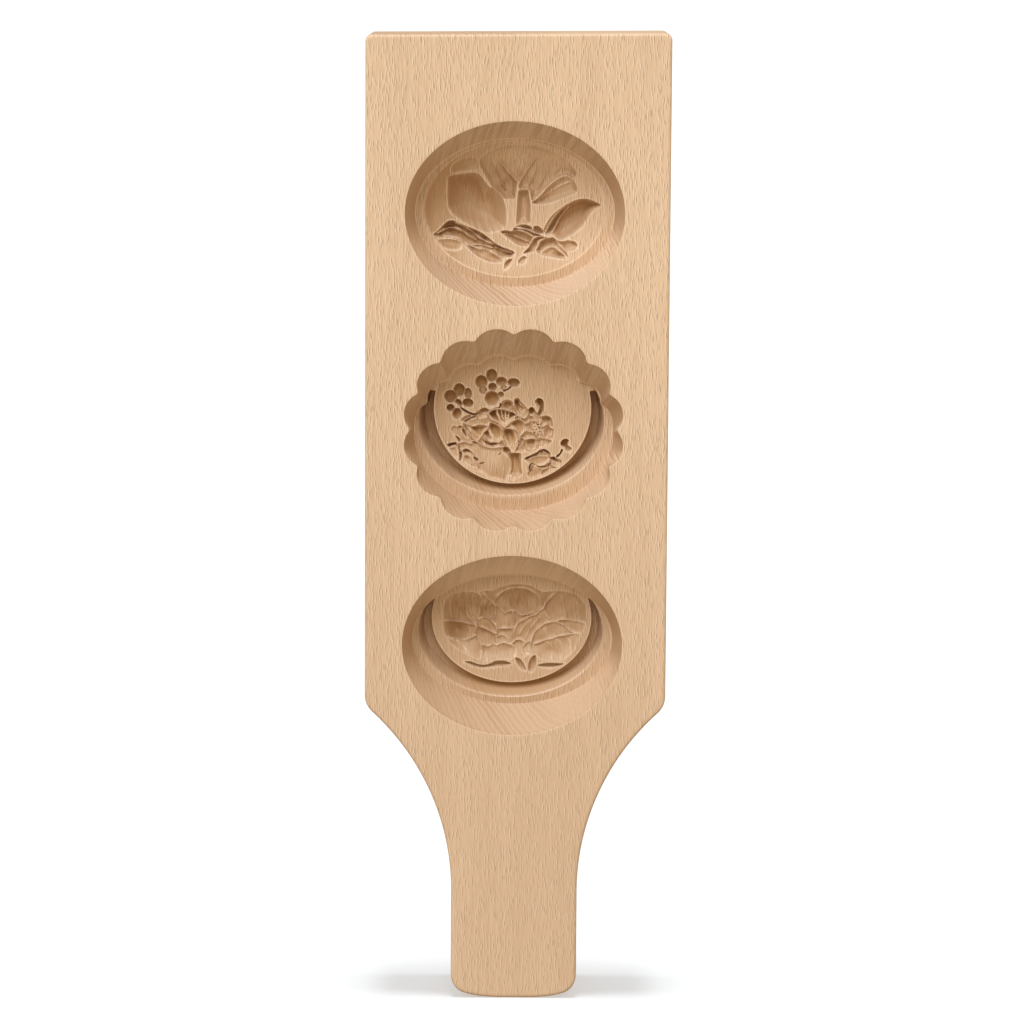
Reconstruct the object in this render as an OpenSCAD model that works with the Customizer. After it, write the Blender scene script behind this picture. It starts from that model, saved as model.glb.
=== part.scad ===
// Wooden mooncake mold: one carved beech plank with a hand grip and three cavities.
// Millimetres. +Z runs from the grip end to the head end, the carved face looks along -Y.

/* [Plank] */
// Width of the head
head_width = 91; // [85:0.5:98]
// Height of the head end above the grip end, at the middle
total_height = 293; // [290:0.2:300]
// Thickness of the plank
thickness = 30; // [28:0.5:34]
// Rounding of the long edges
edge_round = 1.2; // [1:0.1:2.5]
// Rounding of the two head corners
head_corner = 2.5; // [2.5:0.25:4]
// How far the sawn head end is out of square, in degrees
end_skew = 0.5; // [0:0.1:1]

/* [Grip] */
// Width of the grip
grip_width = 38.3; // [36:0.1:40]
// Radius of the hollow curve between grip and head
neck_radius = 75; // [72:0.5:78]
// Height at which the hollow curve starts
neck_start = 33.4; // [30:0.2:36]
// Radius of the shoulders
shoulder_radius = 7; // [6:0.25:8]
// Radius of the corners at the grip end
grip_corner = 8; // [6:0.25:9]

/* [Cavities] */
// Sideways place of all three cavities
cavity_x = -0.9; // [-1.5:0.1:1.5]
// Depth of the side wall
wall_depth = 11; // [9:0.25:12]
// Depth of the carved field
field_depth = 12.5; // [12.25:0.25:13.5]
// Depth of the border groove
groove_depth = 16; // [15:0.25:17]
// Height of the middle of the head-end oval
oval_1_z = 239.5; // [238.5:0.25:240.5]
// Height of the middle of the scalloped cavity
scallop_z = 174.6; // [174:0.2:175.2]
// Height of the middle of the oval next to the grip
oval_3_z = 109.1; // [108.5:0.2:110]
// Half the width of the ovals
oval_a = 32.9; // [32:0.1:33.5]
// Half the height of the ovals
oval_b = 27.4; // [27:0.1:28]
// Number of scallops
scallops = 16; // [14:2:18]

/* [Hidden] */
$fn = 96;
dent_fn = 32;
half_t = thickness / 2;

mold_body();

// ---------- plank ----------

// Section of a bar with rounded long edges
module bar_section(w) {
    square([w - 2 * edge_round, thickness], center = true);
    square([w, thickness - 2 * edge_round], center = true);
    for (sx = [-1, 1], sy = [-1, 1])
        translate([sx * (w / 2 - edge_round), sy * (half_t - edge_round)])
            circle(r = edge_round, $fn = 48);
}

module bar(w, z0, z1) {
    translate([0, 0, z0]) linear_extrude(z1 - z0) bar_section(w);
}

// Disc with the same edge rounding, for the convex outline corners
module corner_disc(x, z, r) {
    translate([x, 0, z]) rotate([90, 0, 0]) rotate_extrude() {
        translate([0, -half_t]) square([r - edge_round, thickness]);
        translate([0, -half_t + edge_round]) square([r, thickness - 2 * edge_round]);
        for (s = [-1, 1])
            intersection() {
                translate([r - edge_round, s * (half_t - edge_round)]) circle(r = edge_round, $fn = 48);
                translate([0, -half_t]) square([r + 1, thickness]);
            }
    }
}

// The quarter of a corner disc that forms an outline corner below height z
module outline_corner(side, x, z, r) {
    intersection() {
        corner_disc(side * x, z, r);
        translate([side > 0 ? x : -x - 20, -thickness, z - 20]) cube([20, 2 * thickness, 20]);
    }
}

// Cutter for the hollow neck curve, flared so that it leaves rounded edges
module neck_cutter(x, z, r) {
    translate([x, 0, z]) rotate([90, 0, 0]) rotate_extrude($fn = 192) {
        translate([0, -half_t - 1]) square([r, thickness + 2]);
        for (s = [0, 1]) mirror([0, s])
            difference() {
                translate([r - 1, half_t - edge_round]) square([1 + edge_round, edge_round + 1]);
                translate([r + edge_round, half_t - edge_round]) circle(r = edge_round, $fn = 48);
            }
    }
}

shoulder_x = head_width / 2 - shoulder_radius;
neck_x = grip_width / 2 + neck_radius;
shoulder_z = neck_start + sqrt(pow(neck_radius + shoulder_radius, 2) - pow(neck_x - shoulder_x, 2));
join_dir = [neck_x - shoulder_x, neck_start - shoulder_z] / (neck_radius + shoulder_radius);
join_x = shoulder_x + (shoulder_radius + 12) * join_dir[0];
join_z = shoulder_z + (shoulder_radius + 12) * join_dir[1];

module neck() {
    difference() {
        translate([0, half_t, 0]) rotate([90, 0, 0]) linear_extrude(thickness)
            polygon([
                [shoulder_x, shoulder_z], [join_x, join_z], [join_x, neck_start],
                [-join_x, neck_start], [-join_x, join_z], [-shoulder_x, shoulder_z]
            ]);
        for (s = [-1, 1]) neck_cutter(s * neck_x, neck_start, neck_radius);
    }
    for (s = [-1, 1]) outline_corner(s, shoulder_x, shoulder_z, shoulder_radius);
}

module grip() {
    cx = grip_width / 2 - grip_corner;
    bar(grip_width, grip_corner, neck_start);
    for (s = [-1, 1]) outline_corner(s, cx, grip_corner, grip_corner);
    translate([-cx, 0, 0]) rotate([90, 0, 90]) linear_extrude(2 * cx) {
        translate([-half_t + edge_round, 0]) square([thickness - 2 * edge_round, grip_corner]);
        translate([-half_t, edge_round]) square([thickness, grip_corner - edge_round]);
        for (s = [-1, 1]) translate([s * (half_t - edge_round), edge_round]) circle(r = edge_round, $fn = 48);
    }
}

// Head block, sawn slightly out of square, with its end edges and corners rounded
module head() {
    t = tan(end_skew);
    k = sqrt(1 + t * t);
    intersection() {
        bar(head_width, shoulder_z, total_height + 5);
        translate([0, 0, total_height]) rotate([0, -end_skew, 0]) rotate([90, 0, 90])
            translate([0, 0, -60]) linear_extrude(120) {
                translate([-half_t + edge_round, -220]) square([thickness - 2 * edge_round, 220]);
                translate([-half_t, -220]) square([thickness, 220 - edge_round]);
                for (s = [-1, 1]) translate([s * (half_t - edge_round), -edge_round]) circle(r = edge_round, $fn = 48);
            }
        translate([0, half_t + 1, 0]) rotate([90, 0, 0]) linear_extrude(thickness + 2)
            difference() {
                translate([-60, 0]) square([120, total_height + 20]);
                for (s = [-1, 1]) {
                    cx = s * (head_width / 2 - head_corner);
                    cz = total_height + cx * t - head_corner * k;
                    difference() {
                        polygon([
                            [cx, cz], [cx + s * 20, cz], [cx + s * 20, cz + 20],
                            [cx - head_corner * t / k, cz + 20],
                            [cx - head_corner * t / k, cz + head_corner / k]
                        ]);
                        translate([cx, cz]) circle(r = head_corner, $fn = 64);
                    }
                }
            }
    }
}

// ---------- cavities ----------
// In these modules x is across, y is up and z points out of the carved face.

module on_face(x, z) {
    translate([x, -half_t, z]) rotate([90, 0, 0]) children();
}

// Cone from radius r at the top plane to r - inset at the depth d below it
module draft_cone(r, top, d, inset) {
    over = 0.5;
    translate([0, 0, top - d])
        cylinder(h = d + over, r1 = r - inset, r2 = r + inset * over / d);
}

// Oval pocket, narrower by inset at the ends of its long axis at the depth d
module oval_pocket(a, b, top, d, inset) {
    scale([1, b / a, 1]) rotate([0, 0, 180]) draft_cone(a, top, d, inset, $fn = 144);
}

// Round hollow of plan radius p and depth d in the surface at height h
module petal(x, y, h, p, d) {
    lift = (p * p - d * d) / (2 * d);
    translate([x, y, h + lift]) sphere(r = lift + d, $fn = 2 * dent_fn);
}

// Leaf-shaped hollow: half length l, half width w, depth d
module leaf(x, y, h, angle, l, w, d) {
    off = (l * l / w - w) / 2;
    rho = (l * l / w + w) / 2;
    lift = (l * l - d * d) / (2 * d);
    r = sqrt(rho * rho + lift * lift);
    translate([x, y, h]) rotate([0, 0, angle])
        intersection() {
            translate([0, off, lift]) sphere(r = r, $fn = 3 * dent_fn);
            translate([0, -off, lift]) sphere(r = r, $fn = 3 * dent_fn);
            translate([-l - 1, -w - 1, -d - 1]) cube([2 * l + 2, 2 * w + 2, d + 2]);
        }
}

module blossom(x, y, h, ring, p, d, turn) {
    for (i = [0:4])
        petal(x + ring * cos(turn + 72 * i), y + ring * sin(turn + 72 * i), h, p, d);
}

// Head-end oval: wall, ledge and a shallow bowl with leaves
module oval_1() {
    h = -wall_depth - 3;
    oval_pocket(oval_a, oval_b, 0, wall_depth, 4.2);
    oval_pocket(26.6, 20.4, -wall_depth, 3, 4);
    leaf(-11, 3.4, h, -62, 9.6, 6.4, 2.6);
    petal(3, 11.5, h, 5.2, 1.8);
    petal(-5, 11.2, h, 4, 1.6);
    leaf(11.4, 6.2, h, 20, 7.2, 3.3, 2);
    leaf(16, -1.8, h, 38, 9.4, 4, 2.4);
    leaf(-14.2, -6, h, -20, 8.8, 2.8, 2.2);
    leaf(3.2, -5.6, h, -12, 3.8, 1.4, 1.2);
    leaf(0.8, -8.4, h, -22, 4.4, 1.6, 1.4);
    leaf(11, -10.6, h, -28, 5.4, 2.2, 1.6);
    leaf(-6.4, -12, h, -16, 6, 2.4, 1.8);
}

// Border groove round a field that sits high in the cavity
module field(a, b, fa, fb, fx, fy) {
    difference() {
        oval_pocket(a, b, -wall_depth, groove_depth - wall_depth, 1.2);
        translate([fx, fy, 0]) intersection() {
            oval_pocket(fa, fb, -field_depth + 4, groove_depth - field_depth + 5, -0.4);
            translate([-60, -60, -groove_depth - 2]) cube([120, 120, groove_depth + 2 - field_depth]);
        }
    }
}

// Middle cavity: scalloped wall, border groove and a field of plum blossom
module scallop_cavity() {
    h = -field_depth;
    a = 32.7;
    b = 30.3;
    r = 9.5;
    inset = 6.2;
    oval_pocket(29.4, 27, 0, wall_depth, inset);
    for (i = [0:scallops - 1]) {
        u = 90 + (i + 0.5) * 360 / scallops;
        translate([(a - r) * cos(u), (b - r) * sin(u), 0]) rotate([0, 0, u + 180])
            draft_cone(r, 0, wall_depth, inset, $fn = 48);
    }
    field(26.4, 21.2, 23.9, 22.8, -0.35, 5.2);
    blossom(-17, 9.6, h, 2.3, 1.5, 0.9, 90);
    blossom(-6.8, 12.4, h, 3.3, 2, 1.2, 90);
    blossom(-2.6, 0.6, h, 4.6, 2.7, 1.5, 90);
    blossom(8, -0.6, h, 3.2, 1.9, 1.2, 60);
    blossom(15, -5.2, h, 1.9, 1.2, 0.8, 90);
    leaf(0.2, 13, h, 55, 2.8, 1.2, 0.9);
    leaf(4.6, 7.6, h, 40, 3, 1.3, 0.9);
    leaf(-14.4, -2.4, h, -35, 4.6, 1.7, 1.1);
    leaf(-12, -8.6, h, -18, 4.4, 1.6, 1.1);
    leaf(-5, -12.2, h, 80, 4.8, 2, 1.2);
    leaf(3.6, -10.4, h, -50, 4.2, 1.5, 1);
}

// Oval next to the grip: wall, border groove and a field with a peony
module oval_3() {
    h = -field_depth;
    oval_pocket(oval_a, oval_b, 0, wall_depth, 5);
    field(26.8, 18, 24.4, 20, -0.3, 6.6);
    petal(2, 11.2, h, 5.4, 2);
    leaf(-15.2, 9, h, -60, 6.6, 4.6, 1.9);
    petal(18, 9.2, h, 4.8, 1.8);
    leaf(13.4, -0.2, h, 16, 6.8, 4, 1.9);
    petal(-7.4, 1.6, h, 3.2, 1.4);
    petal(-16.6, 1.2, h, 3.3, 1.4);
    petal(2.6, 2.4, h, 2.8, 1.2);
    leaf(-6.8, -8, h, -4, 6.4, 1.5, 1.2);
    leaf(11.8, -8.2, h, 6, 4.2, 1.3, 1);
    leaf(1.6, -8.6, h, 70, 3.6, 1.2, 0.9);
    leaf(5, -8, h, -70, 3.4, 1.2, 0.9);
}

module mold_body() {
    color([0.80, 0.62, 0.45])
        difference() {
            union() {
                head();
                neck();
                grip();
            }
            on_face(cavity_x, oval_1_z) oval_1();
            on_face(cavity_x, scallop_z) scallop_cavity();
            on_face(cavity_x, oval_3_z) oval_3();
        }
}
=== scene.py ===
import math

import bpy
import numpy as np
from mathutils import Matrix, Vector
from mathutils.geometry import delaunay_2d_cdt


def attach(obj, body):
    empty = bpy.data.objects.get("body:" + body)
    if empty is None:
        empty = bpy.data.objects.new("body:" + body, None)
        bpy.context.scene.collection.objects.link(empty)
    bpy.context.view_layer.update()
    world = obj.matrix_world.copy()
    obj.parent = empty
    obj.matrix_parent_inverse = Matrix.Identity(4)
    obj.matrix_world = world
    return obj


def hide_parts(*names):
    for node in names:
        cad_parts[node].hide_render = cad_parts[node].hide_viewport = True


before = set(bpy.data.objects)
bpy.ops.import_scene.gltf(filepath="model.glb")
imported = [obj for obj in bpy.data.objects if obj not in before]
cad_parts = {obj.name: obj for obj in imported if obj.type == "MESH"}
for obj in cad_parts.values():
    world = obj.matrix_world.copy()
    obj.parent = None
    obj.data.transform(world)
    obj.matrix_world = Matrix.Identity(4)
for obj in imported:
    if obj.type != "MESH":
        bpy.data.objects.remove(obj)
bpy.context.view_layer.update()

# ---------------------------------------------------------------- sizes, in millimetres
HALF_W = 45.5
HEIGHT = 292.96
HALF_T = 15.0
EDGE = 1.0                 # rounding of the plank's long edges
END_SKEW = 0.516             # the sawn head end is this many degrees out of square
GRIP = 19.15
NECK_R, NECK_Z = 75.0, 33.4
SHOULDER_R = 7.0
HEAD_R = 2.2
N = 400                    # points round each cavity


# ---------------------------------------------------------------- a growing mesh
class Mesh:
    def __init__(self):
        self.v, self.f, self.tone, self.count = [], [], [], 0

    def add(self, xyz, tone=0.0):
        """New points. tone is above 0 for a painted highlight on an edge and below 0 for painted shade in a recess."""
        xyz = np.asarray(xyz, float)
        start = self.count
        self.v.append(xyz)
        self.tone.append(np.broadcast_to(np.asarray(tone, float), (len(xyz),)))
        self.count += len(xyz)
        return np.arange(start, self.count)

    def bridge(self, a, b, flip=False):
        n = len(a)
        for i in range(n):
            j = (i + 1) % n
            q = (a[i], a[j], b[j], b[i])
            self.f.append(q[::-1] if flip else q)


mesh = Mesh()


def arc(cx, cz, r, a0, a1, step):
    n = max(2, int(math.ceil(abs(math.radians(a1 - a0)) * r / step)))
    a = np.radians(np.linspace(a0, a1, n + 1))
    return np.stack([cx + r * np.cos(a), cz + r * np.sin(a)], -1)


def line(p, q, step):
    n = max(1, int(math.ceil(math.dist(p, q) / step)))
    t = np.linspace(0, 1, n + 1)[:, None]
    return (1 - t) * np.array(p, float) + t * np.array(q, float)


def smooth_loop(points, step, closed=True):
    """A closed or open curve through points, even spaced."""
    p = np.array(points, float)
    n = len(p)
    out = []
    last = n if closed else n - 1
    for i in range(last):
        if closed:
            a, b, c, d = p[(i - 1) % n], p[i], p[(i + 1) % n], p[(i + 2) % n]
        else:
            a, b, c, d = p[max(i - 1, 0)], p[i], p[i + 1], p[min(i + 2, n - 1)]
        m = max(2, int(math.ceil(np.linalg.norm(c - b) / step)))
        # centripetal spacing keeps the curve from looping where points are close
        ta = 0.0
        tb = ta + max(np.linalg.norm(b - a), 1e-6) ** 0.5
        tc = tb + max(np.linalg.norm(c - b), 1e-6) ** 0.5
        td = tc + max(np.linalg.norm(d - c), 1e-6) ** 0.5
        t = np.linspace(tb, tc, m, endpoint=False)[:, None]
        a1 = (tb - t) / (tb - ta) * a + (t - ta) / (tb - ta) * b
        a2 = (tc - t) / (tc - tb) * b + (t - tb) / (tc - tb) * c
        a3 = (td - t) / (td - tc) * c + (t - tc) / (td - tc) * d
        b1 = (tc - t) / (tc - ta) * a1 + (t - ta) / (tc - ta) * a2
        b2 = (td - t) / (td - tb) * a2 + (t - tb) / (td - tb) * a3
        out.append((tc - t) / (tc - tb) * b1 + (t - tb) / (tc - tb) * b2)
    if not closed:
        out.append(p[-1:])
    return np.concatenate(out)


def loop_normals(loop):
    """Outward normals of a loop that runs anticlockwise in (x, z)."""
    d = np.roll(loop, -1, 0) - np.roll(loop, 1, 0)
    d /= np.maximum(np.linalg.norm(d, axis=1, keepdims=True), 1e-9)
    return np.stack([d[:, 1], -d[:, 0]], -1)


# ---------------------------------------------------------------- outline of the plank
def outline():
    foot = smooth_loop(
        [(0, 0), (5, 0.0), (8, 0.16), (10.75, 0.42), (13, 0.84), (14.8, 1.3), (16.2, 1.86),
         (17.5, 2.9), (18.5, 4.4), (19.0, 6.2), (GRIP, 8.6)], 0.6, closed=False)
    nx = GRIP + NECK_R
    sx = HALF_W - SHOULDER_R
    sz = NECK_Z + math.sqrt((NECK_R + SHOULDER_R) ** 2 - (nx - sx) ** 2)
    join = math.degrees(math.atan2(sz - NECK_Z, sx - nx))
    t = math.tan(math.radians(END_SKEW))
    k = math.sqrt(1 + t * t)
    parts = [foot,
             line((GRIP, 8.6), (GRIP, NECK_Z), 2.5),
             arc(nx, NECK_Z, NECK_R, 180, join, 1.2),
             arc(sx, sz, SHOULDER_R, join - 180, 0, 0.6)]
    cx = HALF_W - HEAD_R
    cz = HEIGHT + cx * t - HEAD_R * k
    parts += [line((HALF_W, sz), (HALF_W, cz), 4.0),
              arc(cx, cz, HEAD_R, 0, 90 + END_SKEW, 0.35)]
    czl = HEIGHT - cx * t - HEAD_R * k
    a = arc(-cx, czl, HEAD_R, 90 + END_SKEW, 180, 0.35)
    parts += [line(parts[-1][-1], a[0], 4.0), a,
              line((-HALF_W, czl), (-HALF_W, sz), 4.0)]
    mirror = [np.stack([-p[::-1, 0], p[::-1, 1]], -1) for p in (parts[3], parts[2], parts[1], parts[0])]
    parts += mirror
    loop = [parts[0][0]]
    for p in parts:
        for q in p:
            if np.linalg.norm(q - loop[-1]) > 1e-4:
                loop.append(q)
    if np.linalg.norm(loop[-1] - loop[0]) < 1e-4:
        loop.pop()
    return np.array(loop)


def put(loop, y):
    """Points of a loop in the (x, z) plane at depth y, as x, y, z."""
    y = np.broadcast_to(np.asarray(y, float), (len(loop),))
    return np.stack([loop[:, 0], y, loop[:, 1]], -1)


edge_loop = outline()
edge_n = loop_normals(edge_loop)
steps = np.radians(np.linspace(0, 90, 7))
rings = []
for a in steps:
    rings.append(mesh.add(put(edge_loop - edge_n * EDGE * (1 - math.sin(a)), -HALF_T + EDGE * (1 - math.cos(a)))))
front_flat = mesh.add(put(edge_loop - edge_n * (EDGE + 0.5), -HALF_T))
for y in np.linspace(-HALF_T + EDGE, HALF_T - EDGE, 9)[1:-1]:
    rings.append(mesh.add(put(edge_loop, y)))
for a in steps[::-1]:
    rings.append(mesh.add(put(edge_loop - edge_n * EDGE * (1 - math.sin(a)), HALF_T - EDGE * (1 - math.cos(a)))))
back_flat = mesh.add(put(edge_loop - edge_n * (EDGE + 0.5), HALF_T))
mesh.bridge(front_flat, rings[0])
for a, b in zip(rings, rings[1:]):
    mesh.bridge(a, b)
mesh.bridge(rings[-1], back_flat)


def inside(points, loop):
    """Which points lie inside a closed loop."""
    x, y = points[:, 0], points[:, 1]
    hit = np.zeros(len(points), bool)
    a, b = loop, np.roll(loop, -1, 0)
    for (x0, y0), (x1, y1) in zip(a, b):
        if y0 == y1:
            continue
        cross = ((y0 > y) != (y1 > y)) & (x < (x1 - x0) * (y - y0) / (y1 - y0) + x0)
        hit ^= cross
    return hit


def spread(loop, gap, margin):
    """A triangular lattice of points inside loop, at least margin from it."""
    lo, hi = loop.min(0), loop.max(0)
    rows = []
    k = 0
    y = lo[1] + gap / 2
    while y < hi[1]:
        x = np.arange(lo[0] + (gap / 2 if k % 2 else 0), hi[0], gap)
        rows.append(np.stack([x, np.full_like(x, y)], -1))
        y += gap * 0.866
        k += 1
    p = np.concatenate(rows)
    p = p[inside(p, loop)]
    return p[nearest(p, loop) > margin] if len(p) else p


def nearest(points, loop, closed=True):
    """Distance from each point to a polyline."""
    a = loop if closed else loop[:-1]
    b = np.roll(loop, -1, 0) if closed else loop[1:]
    d = b - a
    dd = np.maximum((d * d).sum(1), 1e-12)
    best = np.full(len(points), np.inf)
    for s in range(0, len(points), 4000):
        p = points[s:s + 4000]
        t = np.clip(((p[:, None] - a) * d).sum(2) / dd, 0, 1)
        q = a + t[..., None] * d
        best[s:s + 4000] = np.sqrt(((p[:, None] - q) ** 2).sum(2).min(1))
    return best


def fill(outer, outer_ids, holes, hole_ids, extra, lift, lines=(), flip=False):
    """Triangles between an outer loop and holes, through extra points and lines. lift gives x, y, z of new points."""
    pts = [outer] + list(holes)
    ids = [np.asarray(outer_ids)] + [np.asarray(h) for h in hole_ids]
    edges = []
    base = 0
    for loop in pts:
        n = len(loop)
        edges += [(base + i, base + (i + 1) % n) for i in range(n)]
        base += n
    known = base
    for q, closed in lines:
        n = len(q)
        edges += [(base + i, base + (i + 1) % n) for i in range(n if closed else n - 1)]
        pts.append(q)
        base += n
    if len(extra):
        pts.append(extra)
    allp = np.concatenate(pts)
    ids = np.concatenate(ids)
    verts, _, faces, src, _, _ = delaunay_2d_cdt([Vector(p) for p in allp], edges, [], 1, 1e-5)
    v2 = np.array([(p.x, p.y) for p in verts])
    tri = np.array([f for f in faces if len(f) == 3])
    mid = v2[tri].mean(1)
    a, b, c = v2[tri[:, 0]], v2[tri[:, 1]], v2[tri[:, 2]]
    area = np.abs((b[:, 0] - a[:, 0]) * (c[:, 1] - a[:, 1]) - (b[:, 1] - a[:, 1]) * (c[:, 0] - a[:, 0]))
    longest = np.sqrt(np.maximum.reduce([((a - b) ** 2).sum(1), ((b - c) ** 2).sum(1), ((c - a) ** 2).sum(1)]))
    # slivers along the border are part of the surface, whatever side their middle falls on
    keep = inside(mid, outer) | (area <= longest * 1e-3)
    for h in holes:
        keep &= ~inside(mid, h)
    tri = tri[keep]
    out = np.full(len(v2), -1)
    for i, s in enumerate(src):
        for k in s:
            if k < known:
                out[i] = ids[k]
                break
    used = np.zeros(len(v2), bool)
    used[tri.ravel()] = True
    new = np.where((out < 0) & used)[0]
    if len(new):
        out[new] = mesh.add(*lift(v2[new]))
    # every triangle faces the carved side, or the back if flipped
    a, b, c = v2[tri[:, 0]], v2[tri[:, 1]], v2[tri[:, 2]]
    turn = (b[:, 0] - a[:, 0]) * (c[:, 1] - a[:, 1]) - (b[:, 1] - a[:, 1]) * (c[:, 0] - a[:, 0])
    for t, s in zip(tri, turn):
        q = (out[t[0]], out[t[1]], out[t[2]])
        mesh.f.append(q if (s > 0) != flip else q[::-1])


# ---------------------------------------------------------------- the carving
def hollow(points, depth, tilt=(0.0, 0.0), bowl=0.9, curve=1.8, ribs=(), rib=(0.5, 0.6), edge=0.6):
    """A scooped shape: outline, depth, how the depth leans right and up, share of the width that is curved, ridges left
    in it; edge is the strength of the painted highlight along the outline.
    """
    return dict(points=points, depth=depth, tilt=tilt, bowl=bowl, curve=curve, ribs=ribs, rib=rib, edge=edge)


def panel(points, depth, width, ridges, spots=(), edge=0.5, painted_highlight=(1.3, 0.26)):
    """A sunk shape crossed by ridges: outline, depth, width of its sloping edge, ridges as line, share of the depth and
    half width; edge is the strength of the painted highlight along the outline, and the last pair the strength and
    width of the painted highlight along the ridges.
    """
    return dict(points=points, depth=depth, width=width, ridges=ridges, spots=spots, edge=edge, painted_highlight=painted_highlight)


def oval(u, v, a, b, turn=0.0, n=10):
    """Control points of an oval."""
    t = math.radians(turn)
    out = []
    for k in range(n):
        w = 2 * math.pi * k / n
        x, y = a * math.cos(w), b * math.sin(w)
        out.append((u + x * math.cos(t) - y * math.sin(t), v + x * math.sin(t) + y * math.cos(t)))
    return out


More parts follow.
